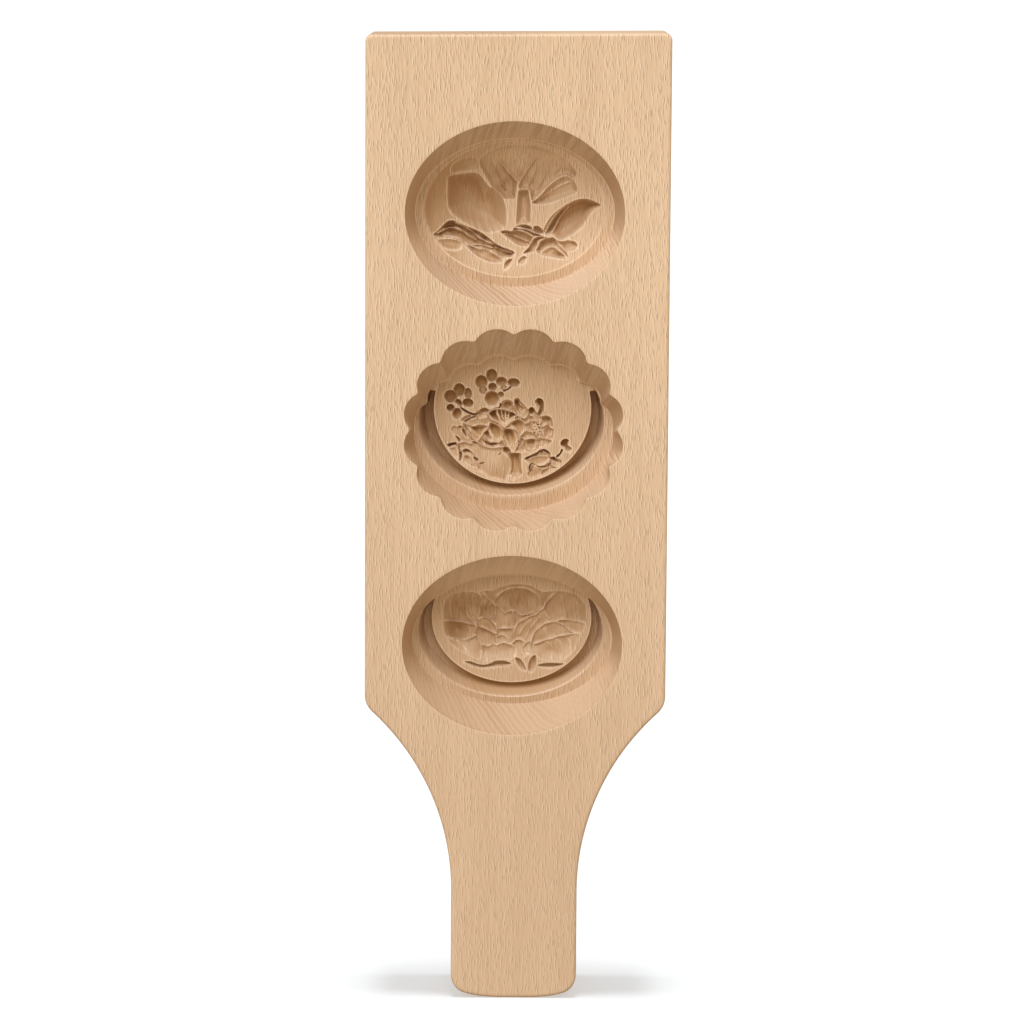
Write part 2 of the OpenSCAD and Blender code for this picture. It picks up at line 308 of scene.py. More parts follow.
# Each drawing is laid out on a fine grid of 0.3 mm squares round the middle of its cavity:
# the first number runs to the right and the second one up.
SPRAY = [
    # broad scooped petal on the left
    hollow([(-66, 34), (-60, 35.7), (-51, 37), (-43, 38), (-36, 36.5), (-31, 30.5), (-26, 24.5), (-20, 21.5), (-15,
           17), (-11.5, 11.5), (-9.5, 5), (-8.5, -3), (-8.5, -11), (-10, -17), (-14, -19.5), (-19, -20.5), (-25,
           -21.5), (-32, -20), (-40, -17), (-48, -13), (-56, -8), (-62.5, -3), (-65.8, 2.5), (-67, 9), (-67.4, 17),
           (-67, 26)], 4.8, tilt=(-0.16, 0.12), bowl=0.85, curve=1.7, ribs=([(-37, 35), (-32, 21), (-29, 6), (-28,
           -11)],), rib=(1.6, 0.3), edge=0.4),
    # petal behind it
    hollow([(-64, 38.5), (-62, 46), (-55, 51), (-46, 53.5), (-38, 52), (-35.5, 47), (-36, 41), (-42, 40.3), (-51, 39.5)],
           0.7, tilt=(0, 0.2), bowl=1.0, curve=1.3, edge=0.1),
    # fan of petals over the stem
    panel([(-35, 50.5), (-29, 57.5), (-19, 62.5), (-7, 65.2), (5, 66), (18, 65), (30, 62), (41, 57.5), (49, 52.5),
           (56, 46), (60.3, 38), (58, 33.2), (51, 36), (44.5, 34.7), (38, 30.2), (32, 24.7), (26, 18.7), (22, 14.3),
           (17, 10), (15.5, 15), (14, 20), (9, 21.3), (4.3, 21.3), (3, 26.5), (1.3, 22), (0.5, 17), (0, 12.4), (-6,
           11.8), (-12, 12.5), (-17, 18), (-23, 23.5), (-27, 30), (-31, 37), (-34, 44)], 2.3, 1.5, [
        # ridges between the petals
        ([(-16, 51), (-10, 42.5), (-3.5, 35.2), (3, 28.5)], 0.95, 0.8),
        ([(3, 26.5), (7, 32.7), (11, 39), (15.5, 45.5), (20, 52)], 0.95, 0.8),
        # faint veins
        ([(-25, 53), (-17, 37), (-10, 21)], 0.3, 0.6),
        ([(-3, 59), (1, 46), (3.3, 35)], 0.3, 0.6),
        ([(11, 59), (7, 46), (4, 35)], 0.3, 0.6),
        ([(34, 54), (30.5, 39), (23.5, 22)], 0.3, 0.6),
        ([(25, 54), (20, 39), (13, 24)], 0.3, 0.6),
        ([(45, 48), (40, 37)], 0.3, 0.6),
    ], spots=[(-8, 20, 11, 0.55), (-18, 33, 12, 0.35), (19, 21, 11, 0.15), (30, 35, 10, -0.05), (5, 64, 26, -0.85), (-27, 56, 15, -0.65), (43, 54, 16, -0.75), (55, 43, 8, -0.3)], edge=0.15),
    # leaf up to the right
    hollow([(16.5, 8.5), (21, 12), (25.5, 16), (30, 21.3), (35, 26.3), (40, 30.5), (46, 34), (52, 34.7), (58, 31),
           (61.3, 24.5), (61, 19), (55, 15.7), (45, 11.7), (35, 8), (25, 6.7), (19, 6.8)], 1.9, tilt=(-0.12, -0.3),
           bowl=0.55, curve=1.7, ribs=([(22, 9), (33, 17.5), (43, 24), (54, 29)],), rib=(0.7, 0.4)),
    # stem
    hollow([(4, 20.5), (12.8, 20.5), (14.3, 14), (15.5, 6.5), (15.2, -3), (14.6, -13), (8, -12.6), (2, -15), (1.3,
           -5), (1.8, 5), (2.3, 13)], 2.3, tilt=(0.1, 0.15), bowl=0.95),
    # long leaf on the right, with a double midrib
    hollow([(85.5, 6.4), (80, 10), (75, 12), (69, 13), (62, 12), (55, 9), (48, 5), (41, 0), (35.5, -5.5), (31.5,
           -11.5), (28.5, -18), (26.5, -23), (32, -24.2), (38, -23.6), (42, -27.4), (47, -28.5), (53, -25.5), (60,
           -21), (66, -16), (70.5, -9.5), (75, -2), (80, 3)], 4.2, tilt=(0.2, 0.05), bowl=0.6, curve=1.7, ribs=([(30,
           -22), (34.5, -13), (41, -3), (49, 4.5)], [(36.5, -23), (41, -14), (46.5, -4), (54, 5)],), rib=(0.7, 1.9)),
    # narrow leaf on the left and the leaf under it
    panel([(-81.5, -24.3), (-76, -19), (-71, -14), (-66, -10), (-60, -10), (-52, -13.5), (-43, -17), (-35, -20.5),
           (-28, -25), (-23, -29), (-18, -32.6), (-12, -35.6), (-5, -38), (0, -41), (-3, -45.5), (-10, -46), (-13,
           -50), (-21, -51), (-30, -48.5), (-39, -43.5), (-46, -37.5), (-53, -31), (-63, -27), (-72, -26.4)], 2.6, 1,
           [
        # ridges of the narrow leaf
        ([(-77, -22.6), (-69, -18.5), (-60, -17.5), (-52, -20.5), (-45, -25.5), (-39, -29)], 0.85, 0.9),
        ([(-59, -11.5), (-49, -16.5), (-41, -22), (-35, -27), (-28, -30.5), (-21, -33)], 0.85, 0.9),
        # its lower edge, left broad and low
        ([(-71, -25), (-62, -25.5), (-54, -28), (-47, -33.5), (-39, -36.5), (-30, -38.5), (-22, -41.5), (-15, -46)],
           0.75, 1.5),
        # short cuts
        ([(-19, -36.3), (-11, -39.3), (-3, -42)], 0.7, 0.7),
        ([(-41, -34), (-31, -34.7), (-22, -37)], 0.7, 0.7),
    ], spots=[(-65, -15, 8, 0.3), (-29, -44, 10, -0.45)]),
    hollow([(-78, -29.5), (-69, -28), (-60, -28.6), (-52, -32.5), (-54, -37.5), (-63, -38.5), (-72, -35.5)], 0.8,
           tilt=(0, 0.4)),
    hollow([(-10, -51.5), (-10.5, -58), (-6, -55), (-3, -50.5), (-2.5, -47.2), (-7, -48)], 1.3, tilt=(0, 0.2),
           curve=1.6),
    # cuts at the foot of the stem and the leaf down to the right
    panel([(-14.5, -20.5), (-9, -19), (-3, -19.6), (-1, -16.5), (4, -13.6), (11, -13.2), (16.5, -15.5), (18, -18),
           (18.5, -15), (23, -14.5), (28, -18.8), (29.5, -22.8), (33, -26), (38, -25.8), (42, -28.5), (47, -29.5),
           (53, -28.5), (60, -30), (62.5, -34), (58, -39), (52, -40), (53.5, -46), (46, -46.8), (38, -45.8), (31,
           -44.4), (25, -42.8), (20, -40), (14, -41.8), (8, -42), (11, -38.5), (14, -35), (9, -35), (3, -33.8), (-3,
           -30), (-9, -25.5)], 2.1, 1, [
        # ridges at the foot of the stem
        ([(-2, -19.6), (5, -19.2), (12, -22), (18, -25.5)], 0.95, 0.75),
        ([(0, -16.6), (7, -17.4), (14, -18.8), (20, -21.8), (28, -24.3)], 0.95, 0.75),
        ([(18, -17), (20, -21.8)], 0.95, 0.75),
        ([(14, -35), (17, -30.5), (18.5, -27), (25, -25.3), (33, -26)], 0.95, 0.75),
        # ridges of the leaf down to the right
        ([(20, -40), (23, -35), (25, -30), (30, -27.5)], 0.7, 1.3),
        ([(26, -41.5), (33, -36.5), (39, -36), (45, -40), (51, -45)], 0.7, 1.3),
        ([(41, -29), (45, -34), (50, -39.5)], 0.7, 1.3),
        # fine cuts
        ([(-10, -22), (-2, -24.5), (5, -27.5), (14, -30.8)], 0.45, 0.6),
    ], spots=[(5, -29, 6, 0.35), (28, -33, 6, 0.4), (46, -43, 6, 0.4), (54, -34, 8, -0.4), (35, -40, 7, -0.25)]),
    hollow([(3, -52), (5, -46.5), (9, -44.3), (12, -45.5), (10.5, -50), (6.5, -53)], 1, tilt=(0, 0.2)),
]

PEONY = [
    # the peony: petals and leaves packed edge to edge
    panel([(-69, 25), (-66, 33), (-60, 38), (-52, 40.5), (-43, 40.7), (-35, 40), (-27, 42), (-20, 42), (-14, 45), (-7,
           47.4), (1, 48.7), (10, 48.7), (18, 47.4), (25, 44), (31, 41), (37, 41.5), (45, 42), (54, 41.2), (63, 39),
           (69, 34), (73, 27), (74.6, 19), (74, 11), (72, 4), (69, -2), (66.5, -8), (63, -16), (58, -23), (52, -28),
           (44, -30), (36, -29), (29, -27.5), (24, -24), (18, -22.5), (12, -25.5), (5, -25), (-2, -28), (-9, -28),
           (-17, -29), (-26, -30), (-34, -28), (-42, -24.5), (-51, -20), (-58, -14.5), (-64.5, -8), (-68, 0), (-69.2,
           9), (-69.2, 17)], 2.4, 3.2, [
        # ridges between the petals
        ([(-34, 39.5), (-31, 34), (-34.5, 27), (-32.7, 19), (-34, 12), (-36, 5)], 0.4, 0.7),
        ([(-36, 5), (-37, -2), (-34.5, -8), (-31, -13), (-29.5, -19), (-32, -27)], 0.4, 0.7),
        ([(-30, 41), (-25, 33.5), (-18, 27), (-12, 22), (-7, 18)], 0.4, 0.7),
        ([(-18, 27), (-16.5, 33), (-12, 38.5), (-6, 42.2), (1, 44), (8, 44.4), (16, 43), (22, 39.7), (27, 34), (30,
           28), (31, 23)], 0.4, 0.7),
        ([(-7, 18), (-3, 20), (0.5, 21.2), (4, 19.7), (8, 17), (13, 16.4), (18, 17.5), (25, 20.5), (31, 23)], 0.4,
           0.7),
        ([(31, 23), (34, 28.5), (38, 34), (43, 39.5)], 0.4, 0.7),
        ([(31, 23), (24, 17.5), (15, 13.5), (8, 9.5), (3.5, 4), (1.5, -3), (3.5, -9)], 0.4, 0.7),
        ([(-36, 5), (-44, 7.5), (-52, 8.7), (-60, 9.7), (-68, 11)], 0.4, 0.7),
        ([(-37.5, -5), (-44, -8.3), (-52, -8.7), (-60, -7.5), (-66, -5)], 0.4, 0.7),
        ([(-34, 12), (-29, 13.5), (-23, 11.5), (-17.5, 6.5), (-15, 0.5)], 0.4, 0.7),
        ([(-36, 5), (-30, 3.5), (-24, 0.5), (-16.5, -2.5)], 0.4, 0.7),
        ([(-18, 27), (-16.5, 20), (-17.5, 13), (-15, 0.5), (-16.2, -7), (-15, -14)], 0.4, 0.7),
        ([(-31, -13), (-25, -15.5), (-20, -13.3), (-15, -14)], 0.4, 0.7),
        ([(-15, 2.4), (-8, 2.8), (1.5, 2.8)], 0.4, 0.7),
        ([(0.5, 21), (1.6, 12), (1.3, 2.8)], 0.4, 0.7),
        ([(19, -17), (19.5, -9), (22.5, -1.5), (28, 4.5), (35, 8.4), (43, 9.8), (50, 7.2), (56, 2.7), (61, -0.5),
           (67.5, -1.5)], 0.4, 0.7),
        ([(33, 19), (37, 14), (43, 10.5), (50, 12), (58, 11.7), (66, 10), (73.5, 10)], 0.4, 0.7),
        ([(3.5, -9), (9, -8.3), (14, -11.5), (19, -9)], 0.4, 0.7),
        ([(-15, -14), (-8, -11.8), (-1.5, -13), (3.5, -9)], 0.4, 0.7),
        ([(-1.5, -13), (4, -18.5), (2.5, -25)], 0.4, 0.7),
        ([(14, -11.5), (11, -18), (17, -22.5)], 0.4, 0.7),
        ([(-16.2, -7), (-10, -4), (-4, -6.5), (-1.5, -13)], 0.4, 0.7),
        # veins and ribs
        ([(-60, 36), (-62, 26), (-60, 12)], 0.16, 0.5),
        ([(-53, 38.5), (-55, 26), (-52, 11)], 0.16, 0.5),
        ([(-46, 39), (-47.5, 26), (-44, 10)], 0.16, 0.5),
        ([(-39, 38), (-41, 26), (-38, 10)], 0.16, 0.5),
        ([(-51, 24), (-46, 16), (-36, 5)], 0.16, 0.5),
        ([(-44, 23), (-41, 15), (-36, 5)], 0.16, 0.5),
        ([(-5, 40.5), (-9.5, 32), (-9, 21)], 0.16, 0.5),
        ([(1.5, 42.5), (-2.5, 32), (-2, 22)], 0.16, 0.5),
        ([(8.5, 43), (5, 32), (6, 20)], 0.16, 0.5),
        ([(10, 43), (15, 32), (15, 19)], 0.16, 0.5),
        ([(19, 40), (24, 31), (24, 22)], 0.16, 0.5),
        ([(-26, 31), (-26.5, 23), (-25, 14)], 0.16, 0.5),
        ([(-21.5, 28), (-21.7, 20), (-20.5, 12)], 0.16, 0.5),
        ([(33, -9.5), (41, -18), (40, -27)], 0.16, 0.5),
        ([(43, -6.5), (51, -15), (49, -26)], 0.16, 0.5),
        ([(52, -4.3), (58, -11), (58, -19)], 0.16, 0.5),
        ([(38, -8), (33, 2)], 0.16, 0.5),
        ([(47, -5), (41, 6)], 0.16, 0.5),
        ([(-10, 17), (-10.5, 4)], 0.16, 0.5),
        ([(-4.5, 18), (-4.5, 4)], 0.16, 0.5),
        ([(7, -4), (13, 5), (22, 14)], 0.16, 0.5),
        ([(13, -9), (19, 2.5), (28, 14)], 0.16, 0.5),
        ([(-45, 6), (-43.5, 0), (-45, -7)], 0.16, 0.5),
        ([(-56, -9), (-49, -14), (-44, -21)], 0.16, 0.5),
        ([(-24, -16), (-26, -22), (-24, -29)], 0.16, 0.5),
        ([(48, 37), (53, 26), (54, 14)], 0.16, 0.5),
        ([(60, 35), (64, 25), (64, 12)], 0.16, 0.5),
        # midrib of the leaf
        ([(23, -13), (36, -8.2), (48, -4.8), (66, -1.3)], 0.4, 0.7),
    ], spots=[(-52, 24, 13, 0.55), (-57, 0, 10, 1.05), (-42, 0, 6, 0.2), (-25, 21, 9, 0.65), (-25, -2, 9, 0.45), (6, 32, 15, 0.65), (38, 27, 7, 0.35), (58, 26, 14, 0.05), (-12, -21, 16, -0.3), (48, -16, 18, -0.25), (-44, -18, 12, -0.4), (16, -17, 9, -0.2)], edge=0.3, painted_highlight=(2.6, 0.34)),
    # lens leaves along the lower edge
    hollow([(-48.5, -30.5), (-42, -30), (-35, -32.5), (-28, -33.5), (-22, -32), (-17, -29.5), (-12, -29), (-6, -29.5),
           (-0.5, -32.3), (-6, -35), (-13, -35.5), (-20, -36.3), (-28, -37), (-36, -36), (-43, -33.5)], 1.6,
           curve=1.5),
    hollow([(25, -34), (31, -31.8), (38, -31), (45, -31.4), (54, -32), (47, -35.3), (39, -36.7), (31, -36)], 1.5,
           curve=1.5),
    # two small leaves at the foot
    hollow([(3.5, -26), (8, -27), (12, -32), (14.5, -39.5), (9, -37.5), (5, -32)], 1.4, tilt=(0.1, 0)),
    hollow([(17, -40.5), (16.6, -32), (20, -25), (23.7, -23.3), (25, -29), (23.3, -36), (20.3, -41)], 1.4, tilt=(0.1,
           0)),
]

PLUM = [
    # shallow bed under the flowers, buds and leaves
    panel([(-52, 0), (-47, 4.5), (-40, 6), (-33, 10.5), (-27, 12), (-23, 10.5), (-17, 13), (-12.5, 13.5), (-11.5, 18),
           (-7, 20.7), (-2, 19.7), (0.5, 17.5), (1.2, 21.2), (5, 22.5), (8, 18.5), (13, 13.5), (15.3, 10.5), (18,
           12.3), (21.5, 10.8), (24, 7.5), (25.8, 11.7), (23, 15), (21.6, 19.5), (25.5, 22.5), (29.5, 20.7), (31.2,
           15), (30, 8.5), (28, 4), (33, 5), (38.3, 2.5), (40, -4), (41, -11), (40, -18), (37.3, -24.5), (32, -28),
           (25, -30.5), (18, -32.3), (12, -31.3), (8.5, -33), (8.8, -38), (7.3, -46), (5, -55), (0.5, -60.5), (-4.5,
           -58), (-8, -63.5), (-12, -66), (-17, -63.6), (-24, -58), (-31, -53), (-39, -50), (-47, -46), (-53, -42.3),
           (-57.5, -41), (-63.5, -33), (-68, -26.5), (-63, -23), (-56.5, -23.6), (-53.5, -19.5), (-57.5, -16), (-62,
           -10.5), (-60, -6), (-54, -7), (-50, -5)], 1.25, 0.8, [
        # ridges between petals and leaves
        ([(-52, -2), (-46, -4.5), (-38, -7), (-29, -7), (-24, -5.5)], 0.9, 0.62),
        ([(-47, -0.5), (-39, 3), (-31, 6.2), (-25, 6.5)], 0.9, 0.62),
        ([(-25, 6.5), (-23, 1.5), (-17, -1.8), (-8.5, -8)], 0.9, 0.62),
        ([(4, 4), (-0.5, -0.3), (-5, -4.5), (-8.5, -8)], 0.9, 0.62),
        ([(-25, 6.5), (-19, 10.2), (-12, 11), (-5, 9.5), (4, 4)], 0.9, 0.62),
        ([(-12, 11), (-11.5, 18)], 0.9, 0.62),
        ([(-5, 9.5), (-1, 13), (0.5, 18)], 0.9, 0.62),
        ([(0.5, 18), (2, 11), (5, 4.5), (11, 1.5), (15, 5.5), (15.3, 11)], 0.9, 0.62),
        ([(-50, -6), (-44, -13.5), (-36.5, -22), (-32, -17), (-27, -11), (-24, -5.5)], 0.9, 0.62),
        ([(-24, -5.5), (-18, -4.3), (-13, -7), (-9.7, -12), (-10, -18), (-14, -22.6), (-21, -23), (-26, -19), (-27.5,
           -13.5)], 0.9, 0.62),
        ([(-9.7, -12), (-6, -9), (0, -9), (5, -13), (6.8, -20), (4, -27), (0, -32.8), (-6, -28.3), (-10, -20)], 0.9,
           0.62),
        ([(-8.5, -8), (-3, -3), (3, 0), (8, -0.5), (12.5, -5), (12, -11), (6.5, -17)], 0.9, 0.62),
        ([(-36.5, -22), (-43, -24.3), (-49, -22.5), (-56, -24)], 0.9, 0.62),
        ([(-36.5, -22), (-30, -26), (-22, -28.6), (-14, -27.5), (-6, -28.3)], 0.9, 0.62),
        ([(-56, -24), (-53.5, -32), (-54, -41.5)], 0.9, 0.62),
        ([(-53.5, -32), (-46, -30.3), (-39.5, -33.3), (-35, -42), (-31.5, -52.5)], 0.9, 0.62),
        ([(0, -32.8), (8, -33)], 0.9, 0.62),
        ([(12.5, -5), (18, -1), (24, -1.5), (25.5, -6)], 0.9, 0.62),
        ([(25.5, -6), (28.5, -0.5), (28, 4)], 0.9, 0.62),
        ([(25.5, -6), (33, -7), (40, -8)], 0.9, 0.62),
        ([(33, -7), (30.5, -12), (32, -18), (39, -20)], 0.9, 0.62),
        ([(32, -18), (25.5, -20.5), (25, -30)], 0.9, 0.62),
        ([(25.5, -20.5), (18, -18.3), (12, -19.5), (6.5, -17)], 0.9, 0.62),
        ([(12, -11), (18, -12), (23, -15), (25.5, -20.5)], 0.9, 0.62),
        ([(12, -19.5), (10, -26), (12, -31)], 0.9, 0.62),
        # small veins
        ([(-43, -1), (-33, 0.5), (-26, 2)], 0.35, 0.5),
        ([(-20, -10), (-18, -20)], 0.35, 0.5),
        ([(-4, -13), (-1, -28)], 0.35, 0.5),
        ([(-41, -10), (-36, -18)], 0.35, 0.5),
        ([(-63, -26), (-56, -35)], 0.35, 0.5),
        ([(-48, -33), (-41, -45)], 0.35, 0.5),
        ([(-19, -35), (-16, -50), (-13, -63)], 0.35, 0.5),
        ([(-25, -38), (-22, -50), (-17, -61)], 0.35, 0.5),
        ([(-11, -35), (-9, -48), (-10, -60)], 0.35, 0.5),
        ([(2, -36), (1, -48), (-1, -58)], 0.35, 0.5),
        ([(5, 16), (8, 7)], 0.35, 0.5),
        ([(17, -4), (20, -10)], 0.35, 0.5),
        ([(34, 1), (35, -5)], 0.35, 0.5),
        ([(36, -10), (36, -17)], 0.35, 0.5),
        ([(29, -21), (30, -27)], 0.35, 0.5),
        ([(17, -21), (18, -30)], 0.35, 0.5),
    ], spots=[(-35, 0, 9, -0.3), (-20, -44, 15, -0.9), (-62, -31, 9, -0.5), (-47, -37, 11, -0.5), (-55, -11, 9, -0.5)],
        edge=0.4, painted_highlight=(0.9, 0.28)),
    # shallow bed under the leaves on the right
    panel([(11.5, -39.8), (18, -35), (25, -31.5), (30.5, -30.3), (36, -33), (39, -37), (44, -38), (48.5, -40), (49,
           -44), (44.5, -46.5), (43.5, -50), (39, -52.3), (36.8, -55), (32, -57.8), (27.5, -56.5), (22, -59.6), (17,
           -58), (14.5, -54), (18.5, -47.5), (17, -43.5)], 1.1, 0.8, [
        # ridges
        ([(18, -44), (25, -46), (31, -45), (36, -41.5), (39, -37)], 0.9, 0.62),
        ([(36, -41.5), (34, -48), (30, -50), (28, -56.5)], 0.9, 0.62),
        ([(36, -41.5), (41, -46.5), (44, -47)], 0.9, 0.62),
        ([(30, -50), (25, -46)], 0.9, 0.62),
        # veins
        ([(17, -39.5), (25, -37), (35, -37)], 0.35, 0.5),
        ([(21, -50), (22, -57)], 0.35, 0.5),
        ([(38, -48), (36, -52)], 0.35, 0.5),
    ], edge=0.4, painted_highlight=(0.9, 0.28)),
    # flower on the left
    hollow(oval(-62.5, 23.5, 6.6, 6.6), 2.49, tilt=(0, 0.1), bowl=0.42, curve=1.5),
    hollow(oval(-53.8, 30, 5.9, 6.8), 2.41, tilt=(0, 0.1), bowl=0.42, curve=1.5),
    hollow(oval(-45, 26.5, 3.9, 5.8, 8), 1.81, tilt=(0, 0.1), bowl=0.42, curve=1.5, edge=0.4),
    hollow(oval(-45, 17, 5.8, 4.5, -10), 2.41, tilt=(0, 0.1), bowl=0.42, curve=1.5),
    hollow(oval(-62.5, 12, 4.2, 3.9), 2.24, tilt=(0, 0.1), bowl=0.42, curve=1.5),
    hollow(oval(-56, 6.3, 4.8, 5.9, -8), 2.06, tilt=(-0.3, 0.15), bowl=0.6, curve=1.5),
    hollow([(-57.5, 20.5), (-53, 20.5), (-50.5, 15), (-52.5, 13), (-55.5, 15.3), (-58.5, 17.5)], 2.0, curve=1.5),
    # its branch
    hollow([(-54, 14), (-49, 11.3), (-43, 8), (-36, 6.3), (-32.5, 7.6), (-32.5, 5.6), (-38, 4), (-45, 5.8), (-51, 9.5)],
           1.9, curve=1.5, edge=0.4),
    hollow(oval(-28.8, 8, 5.3, 4.5), 1.81, tilt=(0, 0.35), bowl=0.6, curve=1.5),
    # flower above the middle
    hollow(oval(-21.5, 44.8, 5.7, 6.7), 2.15, tilt=(0, 0.1), bowl=0.42, curve=1.5),
    hollow(oval(-31.8, 38.3, 6.2, 6.9, 10), 2.24, tilt=(0, 0.1), bowl=0.42, curve=1.5),
    hollow(oval(-30, 29.8, 4.3, 4.0), 1.46, tilt=(0, 0.1), bowl=0.42, curve=1.5, edge=0.4),
    hollow(oval(-11.8, 38.6, 5.8, 5.0, -10), 1.98, tilt=(0, 0.25), bowl=0.6, curve=1.5),
    hollow(oval(-9.6, 32.4, 3.3, 2.6, 20), 1.03, bowl=0.6, curve=1.5, edge=0.4),
    hollow(oval(0.6, 37.6, 6.3, 4.6, -8), 2.06, tilt=(0, 0.1), bowl=0.42, curve=1.5),
    hollow([(-10.5, 29.8), (-6, 31.4), (-3, 34.2), (-1.2, 33.4), (-5, 29.9), (-9.5, 28)], 1.6, curve=1.5, edge=0.4),
    hollow(oval(-20.6, 33.2, 4.4, 4.4), 2.06, tilt=(0, 0.1), bowl=0.42, curve=1.5),
    hollow(oval(-21.2, 21.6, 7.5, 7.7), 2.41, tilt=(0, 0.15), bowl=0.6, curve=1.5),
    hollow(oval(-12.3, 25.4, 3.3, 3.3), 1.46, tilt=(0, 0.1), bowl=0.42, curve=1.5, edge=0.4),
    # bud and its stalk
    hollow(oval(-5.4, 14.2, 5.2, 5.1), 2.06, tilt=(0, 0.3), bowl=0.6, curve=1.5),
    hollow([(-13.3, 17.3), (-11.2, 16), (-12, 12.4), (-14, 11.2), (-16.5, 11.6), (-14, 13.5)], 1.6, curve=1.5, edge=0.4),
    # open flower with gouge lines
    hollow([(-24.3, 6.6), (-21.5, 9.3), (-17, 10.2), (-16, 6), (-13, 0), (-9.6, -5), (-13, -3.8), (-18, -0.8), (-22,
           2.2)], 2.6, tilt=(-0.2, 0.3), bowl=0.7, curve=1.5),
    hollow([(-15.2, 10), (-12.4, 9.6), (-11.1, 4), (-9.3, -4), (-9.9, -4.4), (-12.2, -0.6), (-14.5, 5)], 2.3, curve=1.5),
    hollow([(-11.4, 9.4), (-8.1, 9), (-7.9, 3), (-8.3, -4.5), (-8.9, -4.5), (-10.1, 2)], 2.3, curve=1.5),
    hollow([(-7.1, 8.8), (-4.4, 8.2), (-5, 3), (-7.3, -4), (-7.9, -4), (-6.9, 2)], 2.2, curve=1.5),
    hollow([(-3.4, 8), (0, 7.5), (3.3, 4.3), (0, 2.2), (-3.5, -0.2), (-6.5, -4), (-4.2, 2)], 2.4, tilt=(0, 0.3), bowl=0.7,
           curve=1.5),
    # petal on its right
    hollow([(-2.6, -3.6), (0.5, -0.8), (4.5, 1.3), (8, 0.3), (10.5, -3), (11, -8), (9, -14), (6.8, -18.3), (4.8, -14.5),
           (2, -9.3), (-1.6, -6.5)], 1.9, tilt=(-0.1, 0.5), bowl=0.8),
    # petals below it
    hollow([(-23.5, -3), (-18.5, -3.7), (-14, -6.5), (-11.2, -11), (-11.6, -17), (-15.5, -20), (-19.5, -17.5), (-22.5,
           -12.5), (-24, -7.5)], 2.5, tilt=(-0.3, 0.2), bowl=0.7, curve=1.6),
    hollow([(-29.8, -14), (-26.6, -10.8), (-24.4, -11.3), (-22.2, -16), (-18, -20.4), (-22, -20.8), (-26.8, -18)], 2.1,
           tilt=(-0.2, 0.25), bowl=0.7, curve=1.5),
    hollow([(-9.6, -10.3), (-5.5, -8.3), (-0.5, -9.8), (2.8, -15), (3.6, -20.5), (1.5, -25.5), (-1, -29.7), (-4.5, -25),
           (-8, -18.5)], 2.4, tilt=(-0.3, 0.5), bowl=0.8, curve=1.6),
    hollow([(5.2, -19.5), (6.8, -20.5), (6.7, -26.5), (4.5, -31), (3.1, -30.5), (5, -25.5)], 1.7, curve=1.5, edge=0.4),
    hollow([(-31, -17.2), (-27.8, -20.6), (-22.5, -22.7), (-15.3, -22.9), (-14.4, -25.3), (-22, -26.8), (-27.8, -25),
           (-30.6, -21)], 2.2, curve=1.5),
    # leaf with a folded middle
    hollow([(-43, -8), (-38, -5.8), (-33, -5), (-25, -6.3), (-29.3, -12.5), (-34.4, -18.2), (-39, -13.2)], 2.3,
           tilt=(-0.1, 0.4), bowl=0.8, curve=1.6, edge=0.8),
    hollow([(-50.4, -3), (-47.6, -6), (-43.6, -10.9), (-39, -17.4), (-36.6, -21.2), (-40.4, -18.3), (-45.6, -12), (-49.4,
           -7)], 1.6, curve=1.5, edge=0.7),
    hollow([(-51, -9.6), (-49, -9.4), (-46.8, -13), (-44, -18.8), (-46.8, -17.8), (-50.4, -13.7)], 2.0, curve=1.5),
    hollow([(-50, -2.2), (-46, 0.8), (-41, 3.3), (-37, 4.4), (-37.6, 2.2), (-42, 0), (-46, -2.4)], 2.0, curve=1.5),
    hollow(oval(-35.4, 0, 1.2, 1.6), 1.4, curve=1.5, edge=0.3),
    # bud, leaf and curled shoot on the right
    hollow([(1, 18.5), (3, 20.9), (6, 19.6), (7.5, 15.5), (12.4, 12.3), (10.6, 8), (7, 4.3), (3.7, 8), (2, 13)], 2.2,
           tilt=(-0.2, 0.4), bowl=0.7, curve=1.5),
    hollow(oval(18.5, 9, 3.6, 4.3), 2.3, tilt=(0, 0.3), bowl=0.6, curve=1.5),
    hollow([(23, 18.5), (24.2, 21.8), (27, 22.3), (30, 20), (31, 14), (30, 7.5), (27, 3.8), (24.2, 5), (25, 9), (26.6, 12),
           (24.3, 15)], 2.4, tilt=(0, 0.2), bowl=0.6, curve=1.5),
    hollow([(15.8, 3.6), (18.5, 4.2), (21, 3), (21.5, -0.3), (18.5, -1.8), (15.3, 0)], 1.6, tilt=(0, 0.3), bowl=0.7,
           curve=1.5, edge=0.4),
    # flower on the right
    hollow(oval(32.8, 0.3, 5.7, 4.4), 1.72, tilt=(0.3, 0.3), bowl=0.7, curve=1.5),
    hollow(oval(33.8, -10.6, 5.3, 6.8), 1.81, tilt=(0.45, 0.1), bowl=0.7, curve=1.5),
    hollow(oval(28.2, -22.2, 5.3, 5.1), 1.55, tilt=(-0.1, 0.4), bowl=0.7, curve=1.5),
    hollow([(12.3, -22.5), (15, -19.2), (20, -18.2), (22.8, -20), (22.8, -26), (20.5, -28.9), (15, -28.2)], 1.9,
           tilt=(0, 0.5), bowl=0.7, curve=1.5),
    hollow(oval(15.3, -7.2, 4.6, 5.1), 1.38, tilt=(-0.3, 0.3), bowl=0.7, curve=1.5, edge=0.4),
    hollow(oval(17, -14.6, 4.2, 3.2), 1.03, tilt=(0, 0.3), bowl=0.7, curve=1.5, edge=0.4),
    hollow(oval(21.0, -3.4, 1.1, 1.3), 1.9, edge=0.7),
    hollow(oval(24.9, -4.9, 1.5, 1.1), 2.2, edge=0.7),
    hollow(oval(21.9, -7.0, 1.3, 1.0), 2.1, edge=0.7),
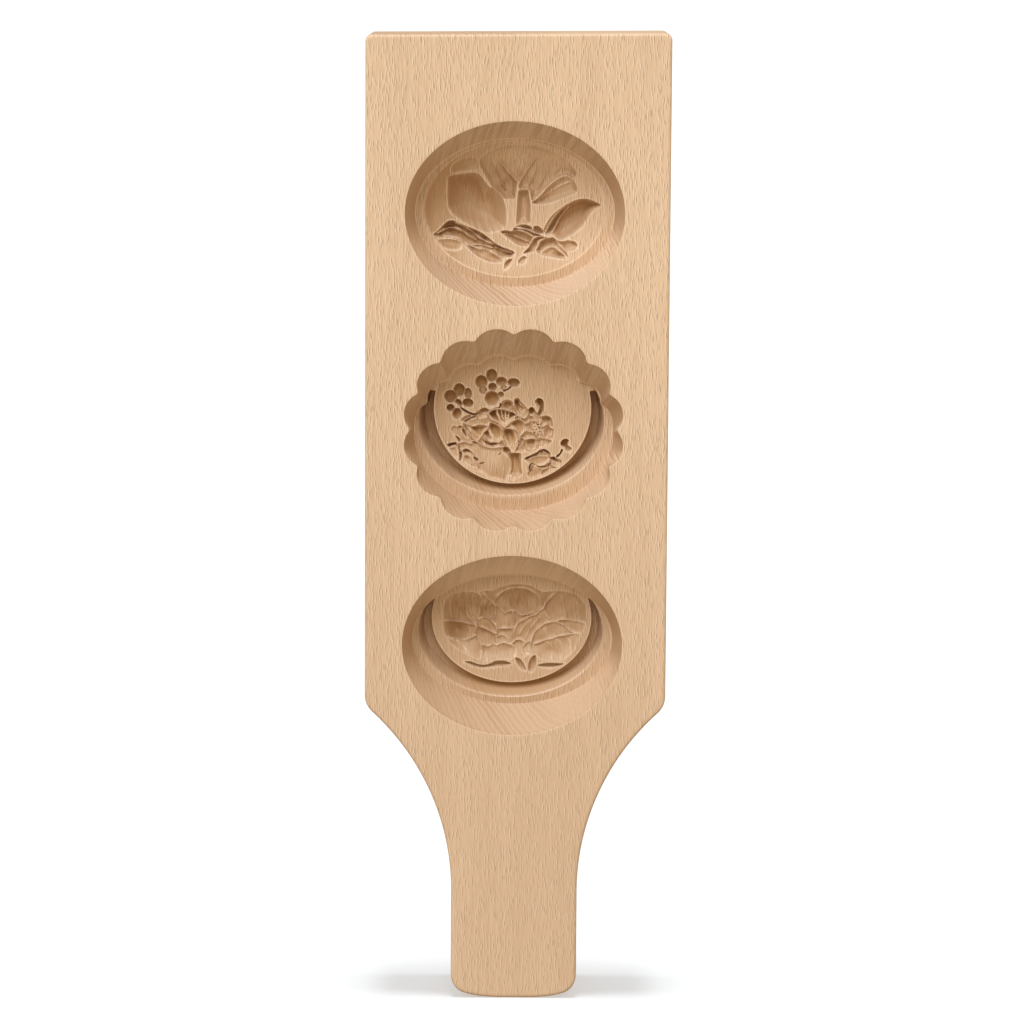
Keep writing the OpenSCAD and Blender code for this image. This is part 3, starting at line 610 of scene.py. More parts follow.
    hollow(oval(26.5, -8.3, 1.2, 1.5), 1.9, edge=0.7),
    hollow(oval(23.6, -9.9, 1.0, 1.2), 2.3, edge=0.7),
    hollow(oval(27.2, -12.4, 1.4, 1.1), 2.0, edge=0.7),
    hollow(oval(21.6, -13.2, 1.2, 1.4), 2.2, edge=0.7),
    hollow(oval(24.9, -15.6, 1.5, 1.2), 1.9, edge=0.7),
    # gouge cuts round the leaves below
    hollow([(-58.8, -7.8), (-55, -7), (-51.8, -5.3), (-52, -7.2), (-55, -8.6)], 1.3, curve=1.5, edge=0.3),
    hollow([(-58, -16.2), (-55, -17), (-52.8, -20), (-52.8, -23.6), (-54.6, -22), (-56.2, -19.2)], 1.6, curve=1.5, edge=0.4),
    hollow([(-66.5, -26.5), (-63, -23.8), (-56.5, -22.6), (-56.2, -25.2), (-60, -26.3), (-63.5, -27.7)], 2.2, curve=1.5),
    hollow([(-54.5, -25.6), (-52.9, -26), (-52.2, -31.3), (-50.8, -33.4), (-50.6, -38), (-52.4, -42), (-54, -41.6), (-53.6,
           -38), (-54.2, -33)], 1.9, curve=1.5, edge=0.5),
    hollow([(-66, -28.6), (-61, -27.6), (-56.4, -27.2), (-55.6, -33), (-55.6, -38.4), (-59.5, -35.6), (-63, -32.4)], 0.9,
           tilt=(0.2, 0.4), bowl=1.0, curve=1.4, edge=0.5),
    hollow([(-49, -35.6), (-44.5, -35.2), (-41.4, -37), (-38.6, -43), (-36.6, -48), (-41, -47.2), (-46, -44.4), (-49.4,
           -41)], 1.1, tilt=(-0.2, 0.4), bowl=1.0, curve=1.4, edge=0.5),
    hollow([(-50.3, -31), (-47, -29), (-43, -30.6), (-40.3, -34.2), (-44.5, -33.6), (-49, -33.8)], 2.2, curve=1.5),
    hollow([(-40.3, -36.8), (-37, -37.6), (-34.2, -39.5), (-34.8, -43), (-37.6, -42)], 1.9, curve=1.5),
    hollow([(-34, -44.2), (-28, -42.4), (-29, -44.8), (-33, -45.8)], 1.3, curve=1.5, edge=0.3),
    hollow([(-41.2, -21.6), (-36, -22.2), (-34.8, -24.2), (-38.5, -25), (-40.4, -24.4)], 2.0, curve=1.5),
    hollow(oval(-46, -25.3, 2.0, 1.2), 1.3, curve=1.5, edge=0.3),
    hollow(oval(-37, -28, 2.3, 1.1), 1.2, curve=1.5, edge=0.3),
    # broad leaf and stem
    hollow([(-10, -27.8), (-6, -27), (-2, -30.2), (-1.7, -36.5), (-5.5, -35.3), (-9.5, -33)], 2.7, tilt=(0, 0.2), bowl=0.7,
           curve=1.5),
    hollow([(-15.3, -36), (-11.6, -32.4), (-10.4, -33), (-13.2, -36.4)], 1.2, curve=1.5, edge=0.3),
    hollow([(-8.5, -33.6), (-1, -33), (6, -33), (8, -40), (9, -50), (9.8, -54.6), (6, -57.4), (0, -57.6), (-4, -55.5), (-2.4,
           -49), (-2.4, -43), (-5, -37.6)], 2.2, tilt=(-0.1, 0.3), bowl=0.6, curve=1.5, edge=0.5),
    # leaves on the right
    hollow([(11.5, -38.5), (17, -35.6), (23, -33.4), (26.5, -30), (32, -29), (36.4, -31.8), (38, -36.2), (35.5, -34.7),
           (32, -32), (28.3, -31.9), (25, -35.6), (18, -37.8), (13.5, -40.2)], 2.0, curve=1.5),
    hollow(oval(28.4, -32.4, 1.6, 1.8), 2.1, curve=1.5, edge=0.3),
    hollow([(17.4, -53.5), (15.6, -48), (18.5, -42.8), (22, -44.3), (27, -46.1), (33.5, -45.6), (38, -42), (39.2, -43.4),
           (34.5, -47.8), (27, -48.5), (21.5, -46.8), (19.2, -45.8), (18, -49), (18.6, -53.2)], 1.6, curve=1.5, edge=0.4),
    hollow([(35.4, -39), (39, -36.8), (42, -36.5), (44, -39), (47, -40.8), (46, -43.2), (42, -42.2), (39, -40.2)], 1.9,
           tilt=(0, 0.4), bowl=0.7, curve=1.5),
    hollow([(43, -36.4), (46.5, -33), (48.8, -28.6), (50.4, -29.6), (48.5, -34.3), (44.6, -37.9)], 1.7, curve=1.5, edge=0.4),
    hollow([(47.3, -23), (50, -19.2), (53.5, -18.4), (56.2, -20), (55.2, -24.8), (59, -28), (57.5, -32), (53.5, -31.2), (51.6,
           -28), (48.5, -26.2)], 2.1, tilt=(-0.3, 0.2), bowl=0.6, curve=1.5),
    hollow([(37.5, -46), (39, -48.7), (42.5, -51), (41.9, -52.3), (37.8, -50), (36.3, -47.2)], 1.1, curve=1.5, edge=0.3),
]

UNIT = 0.303               # one square of the drawings


def shape_depths(points, drawing, shade_depth):
    """Depth that the drawing adds at each (x, z) point, and the tone there: painted highlight along outlines, ribs and
    ridges, and painted shade growing with depth.
    """
    add = np.zeros(len(points))
    pale = np.zeros(len(points))
    for h in drawing:
        loop = h["loop"]
        lo, hi = loop.min(0) - 0.8, loop.max(0) + 0.8
        near = np.where(((points > lo) & (points < hi)).all(1))[0]
        if not len(near):
            continue
        p = points[near]
        gap = nearest(p, loop)
        # painted highlight along each outline, its strength varying along it
        painted_highlight = 0.7 + 0.3 * np.sin(0.7 * p[:, 0] + 0.4) * np.cos(0.8 * p[:, 1] + 1.3)
        pale[near] = np.maximum(pale[near], np.exp(-(gap / 0.30) ** 2) * h["edge"] * painted_highlight)
        p_in = inside(p, loop)
        near, p, gap = near[p_in], p[p_in], gap[p_in]
        if not len(near):
            continue
        if "ridges" in h:
            t = np.clip(gap / h["width"], 0, 1)
            d = h["depth"] * (1 - (1 - t) ** 1.8)
            gain = np.ones(len(p))
            for x, y, r, k in h["spot_points"]:
                gain += k * np.exp(-((p - (x, y)) ** 2).sum(1) / (r * r))
            # hand-cut: ridges vary in width and height
            gain = np.maximum(gain, 0.04) * (1 + 0.10 * np.sin(0.9 * p[:, 0] + 1) * np.sin(1.1 * p[:, 1] + 2))
            low = np.ones(len(p))
            for k, (q, share, w) in enumerate(h["ridge_lines"]):
                a = nearest(p, q, closed=False)
                m = np.sin(1.3 * p[:, 0] + 0.7 * k) * np.cos(1.1 * p[:, 1] - 1.1 * k)
                low = np.minimum(low, 1 - share * (0.84 + 0.16 * m) * (1 - np.clip(a / (w * (1.0 + 0.45 * m)), 0, 1)) ** 1.6)
                # painted highlight along each ridge crest
                pale[near] = np.maximum(pale[near], np.minimum(h["painted_highlight"][0] * share, 1) * np.clip(gain * 1.3, 0.1, 1) * (0.74 + 0.26 * m) * np.exp(-(a / (h["painted_highlight"][1] + 0.05 * m)) ** 2))
            add[near] = np.maximum(add[near], d * gain * low)
            continue
        t = np.clip(gap / h["slope"], 0, 1)
        c, half = (lo + hi) / 2, np.maximum((hi - lo) / 2 - 0.8, 0.2)
        lean = 1 + ((p - c) / half) @ np.array(h["tilt"])
        d = h["depth"] * (1 - (1 - t) ** h["curve"]) * np.clip(lean, 0.25, 2)
        for q in h["rib_lines"]:
            a = nearest(p, q, closed=False)
            w = np.clip(a / h["rib"][0], 0, 1)
            d = np.maximum(d - h["rib"][1] * (1 - w) ** 1.3 * np.minimum(t * 2, 1), 0)
            # painted highlight along each rib
            pale[near] = np.maximum(pale[near], min(1.0, h["rib"][1]) * np.exp(-(a / 0.26) ** 2) * t)
        add[near] = np.maximum(add[near], d)
    # painted shade in the hollows, growing with depth up to full shade
    return add, pale - (1 - pale) * np.clip(add / shade_depth, 0, 1)


def ellipse_reach(centre, semi, origin, angles):
    """Distance from origin to an ellipse along each angle."""
    d = np.stack([np.cos(angles), np.sin(angles)], -1) / semi
    o = (np.asarray(origin, float) - centre) / semi
    a = (d * d).sum(1)
    b = (d * o).sum(1)
    c = (o * o).sum() - 1
    return (-b + np.sqrt(np.maximum(b * b - a * c, 0))) / a


def lobes(phi, count, valley, bow=1.24):
    """Scalloped radius: 1 at the middle of each lobe and valley between two."""
    t = ((phi / (2 * math.pi) * count) % 1.0) * 2 - 1
    low = math.sqrt(bow * bow - 1)
    k = valley + (1 - valley) * (np.sqrt(bow * bow - t * t) - low) / (bow - low)
    w = np.exp(-0.5 * (np.arange(-4, 5) / 1.3) ** 2)
    w /= w.sum()
    return sum(np.roll(k, s) * q for s, q in zip(range(-4, 5), w))


FACE = -HALF_T
rims, rim_ids = [], []


def cavity(rim_c, rim_s, foot_c, foot_s, foot_depth, inner_c, inner_s, drawing, middle, field=None, bowl=None, scallop=None,
           fall=0.7, tip=0.0, floor_shade=0.0, moat=1.0, wall_tone=(0.0, 0.0), floor_shade_fall=0.0,
           shade_depth=4.5, darkest=1.0, under=1.0):
    phi = 2 * math.pi * np.arange(N) / N
    unit = np.stack([np.cos(phi), np.sin(phi)], -1)
    k_rim, k_foot = (lobes(phi, *scallop[0]), lobes(phi, *scallop[1])) if scallop else (np.ones(N), np.ones(N))
    if scallop:
        # the lobes run out towards the foot of the lower wall
        w = np.clip((np.sin(phi) - 0.20) / 0.25, 0, 1)
        k_foot = 1 - (1 - k_foot) * (0.12 + 0.88 * w * w * (3 - 2 * w))
    mid_rim, mid_foot = k_rim.mean(), k_foot.mean()
    low_side = np.clip(-np.sin(phi), 0, 1)

    def wall(t):
        """The wall's loop at a share t of the way from rim to foot."""
        fade = (1 - t) ** (1 + 3.5 * low_side)
        k = mid_rim + (mid_foot - mid_rim) * t + (k_rim - mid_rim) * fade + (k_foot - mid_foot) * t
        c = np.array(rim_c) + (np.array(foot_c) - np.array(rim_c)) * t
        r = np.array(rim_s) + (np.array(foot_s) - np.array(rim_s)) * t
        return c + unit * r * k[:, None]
    rim, foot = wall(0.0), wall(1.0)
    out = loop_normals(rim)
    # flat band round the rim, softened rim edge, wall
    band = rim + out * 0.9
    ring = mesh.add(put(band, FACE))
    rims.append(band)
    rim_ids.append(ring)
    soft = 0.16
    ramp = [(rim + out * soft, 0.0)]
    for a in (22.5, 45, 67.5):
        r = math.radians(a)
        ramp.append((rim + out * soft * (1 - math.sin(r)), soft * (1 - math.cos(r))))
    # the lower ledge falls back a little towards the wall
    foot_d = foot_depth + fall * np.clip(-np.sin(phi), 0, 1) ** 1.5
    for t in (0, 0.1, 0.2, 0.3, 0.4, 0.5, 0.6, 0.7, 0.8, 0.9, 0.97, 1):
        ramp.append((wall(t), soft + (foot_d - soft) * t))
    # Tones of the rim and wall rings: a painted highlight on the softened rim edge and along the foot of the upper
    # wall, and painted light and shade on the walls, the upper walls lighter from rim to foot and lifted by
    # wall_tone[0], the lower walls darkened by wall_tone[1].
    above = np.clip(np.sin(phi) * 4 + 1, 0, 1)
    for k, (loop, d) in enumerate(ramp):
        shade = (wall_tone[0] + 0.5 * (k / len(ramp) - 0.6)) * np.clip(np.sin(phi), 0, 1) + wall_tone[1] * np.clip(-np.sin(phi), 0, 1) ** 0.5
        nxt = mesh.add(put(loop, FACE + d), above * 0.9 if k == len(ramp) - 1 else 0.12 if k in (1, 2) else shade * (k > 3))
        mesh.bridge(ring, nxt)
        ring = nxt
    origin = np.array(field[0]) if field else np.array(inner_c, float)
    rel = foot - origin
    ang = np.arctan2(rel[:, 1], rel[:, 0])
    ray = np.stack([np.cos(ang), np.sin(ang)], -1)
    reach_foot = np.linalg.norm(rel, axis=1)
    reach_in = np.minimum(ellipse_reach(inner_c, inner_s, origin, ang), reach_foot - 0.12)
    ledge = reach_foot - reach_in
    depth = np.full(N, foot_depth, float)

    def lay(reach, d, tone=0.0):
        nonlocal ring
        nxt = mesh.add(put(origin + ray * reach[:, None], FACE + d), tone)
        mesh.bridge(ring, nxt)
        ring = nxt

    # painted shade on the ledge
    for t in (0.25, 0.5, 0.75, 0.96):
        lay(reach_foot + (reach_in - reach_foot) * t, foot_d + (depth - foot_d) * t, -0.25)
    if field:
        reach_f = np.minimum(ellipse_reach(field[0], field[1], origin, ang), reach_in - 0.25)
        top, deep = field[2], field[3]
        gap = reach_in - reach_f
        s = np.clip((gap - 0.25) / 2.0, 0, 1)
        s = s * s * (3 - 2 * s)
        # the moat stops short on both sides
        end = np.clip((tip - (origin + ray * reach_f[:, None])[:, 1]) / 0.5, 0, 1)
        s = s * end
        low = top + (deep - top) * s * (1 - 0.45 * np.clip(-np.sin(ang), 0, 1) ** 2)
        # the outer side of the moat is steep left and right and eases towards the bottom
        ease = 0.30 + 0.62 * np.clip(-np.sin(ang), 0, 1) ** 1.5
        # painted shade down the outer side of the moat, strongest along its bottom and set by moat and under, with a
        # painted highlight on its outer edge
        for t in (0.0, 0.12, 0.25, 0.4, 0.55, 0.7, 0.84, 0.95):
            q = np.clip(t / ease, 0, 1)
            below = np.clip(-np.sin(ang), 0, 1)
            dark = s * np.minimum(moat * (1 - below) * q + 1.2 * below * (0.6 + 0.4 * q), 1) * (1 + (under - 1) * below)
            lay(reach_in - gap * t, depth + (low - depth) * (0.02 + 0.98 * q * (1.35 - 0.35 * q)), -dark if t else 0.35)
        # painted shade on the moat floor
        for q in (1.0, 0.66, 0.33, 0.10):
            lay(reach_f, top + (low - top) * q + 0.0, -0.6 * moat * s * q)
        # painted highlight along the plateau's edge
        lay(reach_f - 0.12, np.full(N, top + 0.03), 1.0)
        reach_e = reach_f - 0.34
        depth_in = lambda p: np.full(len(p), top)
        lay(reach_e, np.full(N, top), 0.35)
    else:
        reach_e = reach_in - 0.3
        # painted highlight along the inner edge of the lower ledge
        lay(reach_in, depth, 0.6 * np.clip(0.2 - 2.5 * np.sin(ang), 0, 1))

        def depth_in(p):
            rel = (p - np.array(inner_c)) / np.array(inner_s)
            rr = np.linalg.norm(rel, axis=1)
            dist = (1 - rr) * np.mean(inner_s)
            # hollowed out more on the left and above, and less below
            left, under = np.clip(-rel[:, 0], 0, 1) ** 2, np.clip(-rel[:, 1], 0, 1) ** 2
            above = np.clip(rel[:, 1], 0, 1) ** 2
            t = np.clip(dist / (bowl[1] * (1 - 0.5 * left)), 0, 1)
            return foot_depth + bowl[0] * (1 + 0.7 * left + 0.25 * above - 0.8 * under) * (1 - (1 - t) ** 1.9)
        lay(reach_e, depth_in(origin + ray * reach_e[:, None]))
    edge = origin + ray * reach_e[:, None]
    # the drawing
    lines = []
    order = np.argsort(ang)
    scale = lambda pts: [(middle[0] + u * UNIT, middle[1] + v * UNIT) for u, v in pts]

    def curve(pts, closed=True):
        """A drawn curve in its place, held a little inside the border of the floor."""
        q = smooth_loop(scale(pts), 0.3, closed)
        away = q - origin
        room = np.interp(np.arctan2(away[:, 1], away[:, 0]), ang[order], reach_e[order], period=2 * math.pi) - 0.3
        return origin + away * np.minimum(1, room / np.maximum(np.linalg.norm(away, axis=1), 1e-6))[:, None]

    for h in drawing:
        h["loop"] = curve(h["points"])
        if "ridges" in h:
            h["ridge_lines"] = [(curve(q, False), share, w) for q, share, w in h["ridges"]]
            h["spot_points"] = [scale([(x, y)])[0] + (r * UNIT, k) for x, y, r, k in h["spots"]]
            lines.append((h["loop"], True))
            lines += [(q, False) for q, share, w in h["ridge_lines"]]
            continue
        grid = spread(h["loop"], 0.25, 0.0)
        wide = nearest(grid, h["loop"]).max() if len(grid) else 0.3
        h["slope"] = max(0.3, h["bowl"] * wide)
        h["rib_lines"] = [curve(r, False) for r in h["ribs"]]
        lines.append((h["loop"], True))
        lines += [(q, False) for q in h["rib_lines"]]
    pts = spread(edge, 0.34, 0.15)
    if lines:
        for q, closed in lines:
            lo, hi = q.min(0) - 0.4, q.max(0) + 0.4
            near = ((pts > lo) & (pts < hi)).all(1)
            far = np.ones(len(pts), bool)
            far[near] = nearest(pts[near], q, closed) > 0.13
            pts = pts[far]

    def lift(p):
        d, tone = shape_depths(p, drawing, shade_depth)
        # painted shade over the cavity floor; with a positive fall it grows towards the bottom
        shade = floor_shade * (1 - floor_shade_fall * (p[:, 1] - origin[1]) / inner_s[1])
        # the cavity without a plateau gets more painted shade on its left side and towards the upper left
        if not field:
            at = (p - np.array(inner_c)) / np.array(inner_s)
            shade = shade + 0.5 * np.clip((-0.45 - at[:, 0]) / 0.25, 0, 1) + 0.35 * np.clip((-0.75 * at[:, 0] + 0.7 * at[:, 1] - 0.55) / 0.3, 0, 1)
        return np.stack([p[:, 0], FACE + depth_in(p) + d, p[:, 1]], -1), np.where(tone > 0.05, tone, np.maximum(tone - shade, -darkest))
    fill(edge, ring, [], [], pts, lift, lines)


cavity((-0.85, 239.5), (32.75, 27.47), (-0.9, 239.1), (30.0, 22.3), 11.0, (-0.9, 240.2), (27.2, 20.6), SPRAY, (-0.855, 239.485),
       bowl=(2.4, 10.0), floor_shade=0.36, floor_shade_fall=0.8, wall_tone=(0.25, 0.0))
cavity((-0.9, 174.58), (33.34, 30.87), (-0.9, 172.6), (30.2, 24.0), 11.0, (-1.6, 176.2), (28.0, 22.8), PLUM, (-1.087, 176.291),
       field=((-1.26, 180.0), (23.9, 23.2), 12.5, 18.5), scallop=((16, 0.9216), (16, 0.93)), fall=1.2, tip=185.0, moat=0.8,
       floor_shade=0.58, wall_tone=(0.0, -0.4), shade_depth=2.5, darkest=1.5)
cavity((-1.0, 109.08), (33.16, 27.37), (-0.95, 109.3), (30.4, 20.1), 11.0, (-1.5, 111.8), (28.0, 20.4), PEONY, (-1.011, 111.222),
       field=((-1.19, 115.7), (24.4, 20.1), 12.5, 16.8), tip=123.0, moat=0.0, floor_shade=0.40,
       wall_tone=(0.55, -0.4), floor_shade_fall=0.7, shade_depth=4.2, darkest=1.15, under=1.35)

face_loop = edge_loop - edge_n * (EDGE + 0.5)
plain = spread(face_loop, 7.0, 3.0)
for r in rims:
    plain = plain[~inside(plain, r)]
    plain = plain[nearest(plain, r) > 2.0]
fill(face_loop, front_flat, rims, rim_ids, plain, lambda p: (put(p, FACE), 0.0))
fill(face_loop, back_flat, [], [], spread(face_loop, 9.0, 3.0), lambda p: (put(p, HALF_T), 0.0), flip=True)

verts = np.concatenate(mesh.v) / 1000.0
verts[:, 2] = np.maximum(verts[:, 2], 0.0)
data = bpy.data.meshes.new("mold")
data.from_pydata(verts.tolist(), [], [tuple(int(i) for i in f) for f in mesh.f])
tone = data.attributes.new("tone", "FLOAT", "POINT")
tone.data.foreach_set("value", np.concatenate(mesh.tone).astype(np.float32))
data.validate()
mold = bpy.data.objects.new("mold", data)
bpy.context.scene.collection.objects.link(mold)
import bmesh
bm = bmesh.new()
bm.from_mesh(data)
loose = [v for v in bm.verts if not v.link_faces]
bmesh.ops.delete(bm, geom=loose, context="VERTS")
bmesh.ops.recalc_face_normals(bm, faces=bm.faces)
open_edges = sum(1 for e in bm.edges if len(e.link_faces) != 2)
print("mold: vertices", len(bm.verts), "faces", len(bm.faces), "triangles", sum(len(f.verts) - 2 for f in bm.faces), "open edges", open_edges, "volume mm3",
      round(bm.calc_volume() * 1e9, 1))
bm.to_mesh(data)
bm.free()
data.shade_smooth()
data.set_sharp_from_angle(angle=math.radians(34))
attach(mold, "root")
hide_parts("mold_body")


# ---------------------------------------------------------------- beech
class Nodes:
    def __init__(self, material):
        self.t = material.node_tree
        self.t.nodes.clear()

    def new(self, kind, **props):
        n = self.t.nodes.new(kind)
        for k, v in props.items():
            setattr(n, k, v)
        return n

    def put(self, socket, value):
        if hasattr(value, "is_output"):
            self.t.links.new(value, socket)
        else:
            socket.default_value = value

    def math(self, op, a, b=0.0, c=0.0, clamp=False):
        n = self.new("ShaderNodeMath", operation=op, use_clamp=clamp)
        for s, v in zip(n.inputs, (a, b, c)):
            self.put(s, v)
        return n.outputs[0]

    def vec(self, x, y, z):
        n = self.new("ShaderNodeCombineXYZ")
        for s, v in zip(n.inputs, (x, y, z)):
            self.put(s, v)
        return n.outputs[0]

    def noise(self, vector, scale=1.0, detail=2.0, rough=0.5, distort=0.0):
        n = self.new("ShaderNodeTexNoise", noise_dimensions="3D")
        self.put(n.inputs["Vector"], vector)
        n.inputs["Scale"].default_value = scale
        n.inputs["Detail"].default_value = detail
        n.inputs["Roughness"].default_value = rough
        n.inputs["Distortion"].default_value = distort
        return n.outputs["Fac"]

    def dashes(self, u, v, keep):
        """Short dashes scattered over u, v: 1 inside a dash; keep is the share of cells left empty."""
        n = self.new("ShaderNodeTexVoronoi", voronoi_dimensions="2D", feature="F1")
        self.put(n.inputs["Vector"], self.vec(u, v, 0.0))
        n.inputs["Scale"].default_value = 1.0
        pick = self.new("ShaderNodeSeparateXYZ")
        self.put(pick.inputs[0], n.outputs["Color"])
        size = self.ramp(pick.outputs[1], 0.0, 1.0, 0.26, 0.42, smooth=False)
        dash = self.ramp(self.math("DIVIDE", n.outputs["Distance"], size), 1.0, 0.55)
        return self.math("MULTIPLY", dash, self.ramp(pick.outputs[0], keep, keep + 0.02))

    def ramp(self, value, lo, hi, out_lo=0.0, out_hi=1.0, smooth=True):
        n = self.new("ShaderNodeMapRange", interpolation_type="SMOOTHSTEP" if smooth else "LINEAR", clamp=True)
        self.put(n.inputs["Value"], value)
        for k, v in (("From Min", lo), ("From Max", hi), ("To Min", out_lo), ("To Max", out_hi)):
            self.put(n.inputs[k], v)
        return n.outputs["Result"]

    def mix(self, fac, a, b, blend="MIX"):
        n = self.new("ShaderNodeMix", data_type="RGBA", blend_type=blend, clamp_factor=True)
        self.put(n.inputs[0], fac)
        self.put(n.inputs[6], a)
        self.put(n.inputs[7], b)
        return n.outputs[2]


def beech():
    m = bpy.data.materials.new("beech_wood")
    m.use_nodes = True
    g = Nodes(m)
    pos = g.new("ShaderNodeTexCoord").outputs["Object"]
    mm = g.new("ShaderNodeVectorMath", operation="SCALE")
    g.put(mm.inputs[0], pos)
    mm.inputs["Scale"].default_value = 1000.0
    sep = g.new("ShaderNodeSeparateXYZ")
    g.put(sep.inputs[0], mm.outputs[0])
    x, y, z = sep.outputs
    # the heart of the tree lies behind the plank and to its right
    wob = g.noise(g.vec(g.math("MULTIPLY", x, 0.035), g.math("MULTIPLY", y, 0.05), g.math("MULTIPLY", z, 0.006)), 1.0, 2.0)
    wob = g.math("MULTIPLY_ADD", wob, 9.0, -4.5)
    dx = g.math("ADD", g.math("SUBTRACT", x, 52.0), wob)
    dy = g.math("SUBTRACT", y, 30.0)
    dist = g.math("SQRT", g.math("ADD", g.math("MULTIPLY", dx, dx), g.math("MULTIPLY", dy, dy)))
    year = g.math("FRACT", g.math("ADD", g.math("DIVIDE", dist, 1.75), g.math("MULTIPLY", g.noise(g.vec(g.math("MULTIPLY", dist, 0.5), 0.0, 0.0), 1.0, 1.0), 1.6)))
    late = g.math("MULTIPLY", g.ramp(year, 0.45, 0.92), g.ramp(year, 1.0, 0.93))
    # end grain shows where the cut faces up or down the plank
    nrm = g.new("ShaderNodeSeparateXYZ")
    g.put(nrm.inputs[0], g.new("ShaderNodeNewGeometry").outputs["Normal"])
    end_up = g.ramp(nrm.outputs[2], 0.42, 0.86)
    end_down = g.ramp(nrm.outputs[2], -0.35, -0.85)
    end = g.math("ADD", end_up, end_down)
    flank = g.math("MULTIPLY", g.ramp(g.math("ABSOLUTE", nrm.outputs[0]), 0.35, 0.85), g.ramp(nrm.outputs[2], 0.1, 0.5, 1.0, 0.15))
    # only in the cavities
    cavities = g.math("MULTIPLY", g.ramp(g.math("ABSOLUTE", x), 40.0, 38.0), g.ramp(z, 80.0, 81.5))
    flank = g.math("MULTIPLY", flank, cavities)
    outer_side = g.math("MULTIPLY", g.ramp(g.math("ABSOLUTE", nrm.outputs[0]), 0.6, 0.9), g.math("SUBTRACT", 1.0, cavities))
    # flecks and fibres run up the plank, leaning a little
    lean = g.math("ADD", g.math("MULTIPLY_ADD", z, 0.012, x), g.math("MULTIPLY", y, 0.08))
    side = g.math("MULTIPLY", g.math("MULTIPLY_ADD", end, -0.8, 1.0), g.math("MULTIPLY_ADD", flank, -0.75, 1.0))
    across = g.math("MULTIPLY", y, g.math("MULTIPLY_ADD", outer_side, 3.2, 0.18))
    fleck = g.noise(g.vec(g.math("MULTIPLY", lean, 3.5), across, g.math("MULTIPLY", z, 0.19)), 1.0, 0.0, 0.5)
    fleck = g.math("MULTIPLY", g.ramp(fleck, 0.58, 0.70), side)
    # pores: short thin dashes with a pale line along one side
    round_edge = g.math("MULTIPLY_ADD", y, g.math("MULTIPLY_ADD", outer_side, 0.9, 0.06), lean)
    up = g.math("DIVIDE", z, 3.7)
    pore = g.math("MULTIPLY", g.dashes(g.math("DIVIDE", round_edge, 0.42), up, 0.62), side)
    glint = g.math("MULTIPLY", g.dashes(g.math("DIVIDE", g.math("ADD", round_edge, 0.27), 0.42), up, 0.62), side)
    # fainter and longer ones between
    hair_u, hair_v = g.math("DIVIDE", g.math("ADD", round_edge, 311.0), 0.38), g.math("DIVIDE", z, 5.4)
    hair = g.math("MULTIPLY", g.dashes(hair_u, hair_v, 0.45), side)
    shine = g.math("MULTIPLY", g.dashes(g.math("ADD", hair_u, 0.75), hair_v, 0.45), side)
    pale = g.noise(g.vec(g.math("MULTIPLY_ADD", lean, 3.0, 31.0), across, g.math("MULTIPLY", z, 0.17)), 1.0, 1.5, 0.55)
    pale = g.math("MULTIPLY", g.ramp(pale, 0.54, 0.70), side)
    fibre = g.noise(g.vec(g.math("MULTIPLY", lean, 3.2), g.math("MULTIPLY", y, 3.2), g.math("MULTIPLY", z, 0.06)), 1.0, 3.0, 0.6)
    streak = g.noise(g.vec(g.math("MULTIPLY_ADD", y, 0.2, x), g.math("MULTIPLY", y, 0.04), g.math("MULTIPLY", z, 0.03)), 0.9, 3.0, 0.6)
    streak = g.math("MULTIPLY", g.ramp(streak, 0.42, 0.60), end_down)
    broad = g.noise(g.vec(g.math("MULTIPLY", x, 0.085), g.math("MULTIPLY", y, 0.06), g.math("MULTIPLY", z, 0.0055)), 1.0, 3.0, 0.55)
    col = g.mix(g.ramp(broad, 0.3, 0.7), (0.80, 0.564, 0.349, 1), (0.735, 0.511, 0.311, 1))
    # colour of up-facing end grain, with painted shade making it darker on the left and lighter on the right
    up_end_grain_shaded = g.mix(g.ramp(x, -24.0, 22.0), (0.515, 0.345, 0.215, 1), (0.60, 0.422, 0.28, 1))
    col = g.mix(g.math("MULTIPLY", end_up, 0.8), col, up_end_grain_shaded)
    col = g.mix(g.math("MULTIPLY", end_down, 0.8), col, (0.63, 0.455, 0.315, 1))
    ring_fac = g.math("MULTIPLY", g.math("MULTIPLY", late, g.ramp(x, -10.0, 22.0, 1.0, 0.1)), g.math("ADD", g.math("MULTIPLY_ADD", end_up, 0.8, 0.12), g.math("MULTIPLY", end_down, 0.1)))
    col = g.mix(ring_fac, col, (0.43, 0.255, 0.14, 1))
    col = g.mix(g.math("MULTIPLY", streak, 0.55), col, (0.42, 0.26, 0.15, 1))
    col = g.mix(g.ramp(fibre, 0.3, 0.75, 0.0, 0.30), col, (0.56, 0.36, 0.205, 1))
    col = g.mix(g.math("MULTIPLY", pale, 0.25), col, (0.90, 0.69, 0.46, 1))
    col = g.mix(g.math("MULTIPLY", fleck, 0.26), col, (0.43, 0.26, 0.135, 1))
    col = g.mix(g.math("MULTIPLY", shine, 0.45), col, (0.93, 0.735, 0.52, 1))
    col = g.mix(g.math("MULTIPLY", hair, 0.36), col, (0.40, 0.235, 0.12, 1))
    col = g.mix(g.math("MULTIPLY", glint, 0.6), col, (0.95, 0.76, 0.55, 1))
    col = g.mix(g.math("MULTIPLY", pore, 0.66), col, (0.38, 0.207, 0.094, 1))
    # painted shade on the cavity side walls, a little stronger on walls that face left
    col = g.mix(g.math("MULTIPLY", flank, g.ramp(nrm.outputs[0], -0.35, -0.85, 0.48, 0.62)), col, (0.40, 0.235, 0.125, 1))
